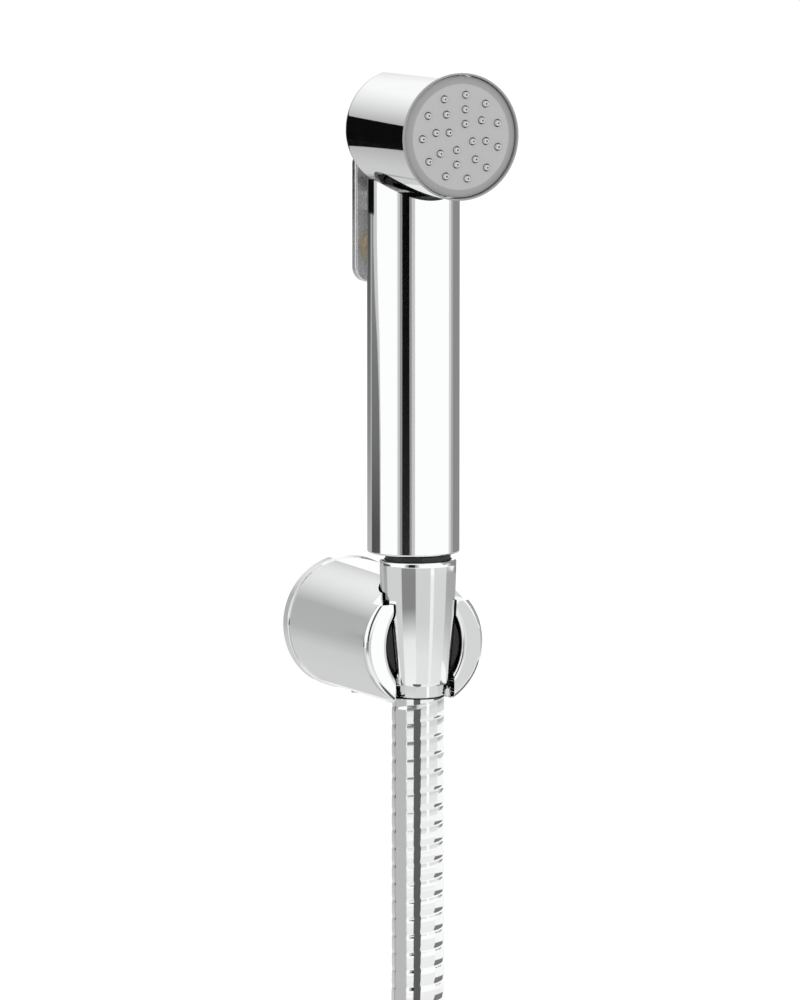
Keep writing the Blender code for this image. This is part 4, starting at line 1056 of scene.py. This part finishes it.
class BIDET_OT_finishes(bpy.types.Operator):
    """Give the pieces that keep their plain solids a finer material"""

    bl_idname = "bidet.make_finishes"
    bl_label = "Finish the other pieces"

    def execute(self, context):
        turned = {"metallic": 1.0, "grain": 400.0, "depth": 0.00001}
        steel = plain_finish("turned_steel", (0.6, 0.6, 0.59), 0.28, **turned)
        brass = plain_finish("turned_brass", (0.7, 0.53, 0.27), 0.3, **turned)
        rubber = plain_finish("black_rubber", (0.02, 0.02, 0.02), 0.6)
        black = plain_finish("black_moulding", (0.014, 0.014, 0.016), 0.4)
        grey = plain_finish("grey_moulding", (0.42, 0.42, 0.43), 0.5)
        groups = (
            (steel, ("wall_plate", "grub_screw", "hinge_block", "lever_pin", "valve_stem", "valve_spring")),
            (brass, ("valve_gland", "valve_plug")),
            (rubber, (
                "nut_washer", "spigot_seal", "chamber_seal", "stem_seal", "valve_poppet", "end_washer")),
            (black, ("inlet_nipple", "valve_body")),
            (grey, ("distributor_disc",)),
        )
        for finish, nodes in groups:
            for node in nodes:
                paint(node, finish)
        return {"FINISHED"}


class BIDET_OT_stage(bpy.types.Operator):
    """Set the white studio, its dark and grey cards, the floor and the camera"""

    bl_idname = "bidet.make_stage"
    bl_label = "Make the stage"

    def execute(self, context):
        settings = context.scene.bidet_stage
        context.scene.view_settings.view_transform = "Standard"
        context.scene.view_settings.look = "None"
        world = bpy.data.worlds.new("white_studio")
        world.use_nodes = True
        background = world.node_tree.nodes["Background"]
        background.inputs["Color"].default_value = (1.0, 1.0, 1.0, 1.0)
        background.inputs["Strength"].default_value = settings.world_light
        context.scene.world = world
        floor = self.disc("floor", FLOOR_RADIUS, (0.0, FLOOR_Y, FLOOR_Z))
        floor.data.materials.append(Finish("floor_paper", (0.9, 0.9, 0.9), 0.8).material)
        floor.visible_glossy = False
        for name, first, last, radius, levels in CARDS:
            card = self.card(name, CAMERA_DEG + first, CAMERA_DEG + last, radius, levels)
            self.reflected_only(card, levels)
        table = self.disc("table", TABLE_RADIUS, (0.0, HANDLE_Y, TABLE_Z))
        self.reflected_only(table, ((TABLE_Z, TABLE_LEVEL), (TABLE_Z + GAP, TABLE_LEVEL)))
        self.camera(context, settings)
        return {"FINISHED"}

    def disc(self, name, radius, place):
        """A flat round stage piece."""
        shape = bmesh.new()
        bmesh.ops.create_circle(shape, cap_ends=True, radius=radius, segments=STAGE_STEPS)
        bmesh.ops.translate(shape, verts=shape.verts, vec=place)
        return add_mesh(name, shape)

    def card(self, name, first_deg, last_deg, radius, levels):
        """A card bent round the handle, with one row of points at each level's height."""
        shape = bmesh.new()
        rows = []
        for height, _, *width_deg in levels:
            turn = width_deg[0] if width_deg else last_deg - first_deg
            row = []
            for index in range(CARD_STEPS + 1):
                azimuth = first_deg + turn * index / CARD_STEPS
                row.append(shape.verts.new(around(azimuth, radius, height)))
            rows.append(row)
        for low, high in zip(rows, rows[1:]):
            for index in range(CARD_STEPS):
                shape.faces.new((low[index], low[index + 1], high[index + 1], high[index]))
        return add_mesh(name, shape)

    def reflected_only(self, piece, levels):
        """Make a stage piece glow, graded by height, and hide it from all but reflections."""
        finish = Finish(piece.name, (0.0, 0.0, 0.0), 1.0)
        finish.shader.inputs["Specular IOR Level"].default_value = 0.0
        finish.shader.inputs["Emission Strength"].default_value = 1.0
        low = levels[0][0]
        high = levels[-1][0]
        share = finish.place.axis("Z").ramp(low, high)
        stops = [((height - low) / (high - low), level) for height, level, *_ in levels]
        grade = Socket.node(finish.tree, "ShaderNodeValToRGB", {"Fac": share}, stops=stops)
        finish.drive("Emission Color", grade)
        piece.data.materials.append(finish.material)
        piece.visible_camera = False
        piece.visible_diffuse = False
        piece.visible_shadow = False
        piece.visible_transmission = False

    def camera(self, context, settings):
        """Set the camera at the photograph's angle, looking at the middle of what it shows."""
        across = Vector((math.cos(settings.azimuth), math.sin(settings.azimuth), 0.0))
        target = Vector((0.0, HANDLE_Y, CAMERA_HEIGHT)) + across * CAMERA_SHIFT
        level = math.cos(settings.elevation)
        back = Vector((
            math.sin(settings.azimuth) * level,
            -math.cos(settings.azimuth) * level,
            math.sin(settings.elevation),
        ))
        data = bpy.data.cameras.new("camera")
        data.sensor_fit = "AUTO"
        data.sensor_width = SENSOR_WIDTH
        data.lens = settings.lens
        data.clip_end = CAMERA_REACH
        camera = bpy.data.objects.new("camera", data)
        context.scene.collection.objects.link(camera)
        camera.location = target + back * settings.distance
        camera.rotation_euler = back.to_track_quat("Z", "Y").to_euler()
        context.scene.camera = camera


STEPS = (
    "make_stage",
    "make_hose",
    "make_holder",
    "make_cone_nut",
    "make_handset",
    "make_spray_face",
    "make_trigger",
    "make_finishes",
)


class BIDET_PT_panel(bpy.types.Panel):
    """The steps that build the dressed shower."""

    bl_idname = "BIDET_PT_panel"
    bl_label = "Bidet shower"
    bl_space_type = "VIEW_3D"
    bl_region_type = "UI"
    bl_category = "Bidet shower"

    def draw(self, context):
        for name in ("bidet_metal", "bidet_shape", "bidet_stage"):
            settings = getattr(context.scene, name)
            for key in settings.__annotations__:
                self.layout.prop(settings, key)
        for step in STEPS:
            self.layout.operator("bidet." + step)


CLASSES = (
    BidetMetalSettings,
    BidetShapeSettings,
    BidetStageSettings,
    BIDET_OT_stage,
    BIDET_OT_hose,
    BIDET_OT_holder,
    BIDET_OT_cone_nut,
    BIDET_OT_handset,
    BIDET_OT_spray_face,
    BIDET_OT_trigger,
    BIDET_OT_finishes,
    BIDET_PT_panel,
)


def register():
    for cls in CLASSES:
        bpy.utils.register_class(cls)
    bpy.types.Scene.bidet_metal = bpy.props.PointerProperty(type=BidetMetalSettings)
    bpy.types.Scene.bidet_shape = bpy.props.PointerProperty(type=BidetShapeSettings)
    bpy.types.Scene.bidet_stage = bpy.props.PointerProperty(type=BidetStageSettings)


def unregister():
    del bpy.types.Scene.bidet_stage
    del bpy.types.Scene.bidet_shape
    del bpy.types.Scene.bidet_metal
    for cls in reversed(CLASSES):
        bpy.utils.unregister_class(cls)


def corners(bounds):
    return [[float(value) for value in corner] for corner in bounds]


def main():
    register()
    for step in STEPS:
        getattr(bpy.ops.bidet, step)()


if __name__ == "__main__":
    main()
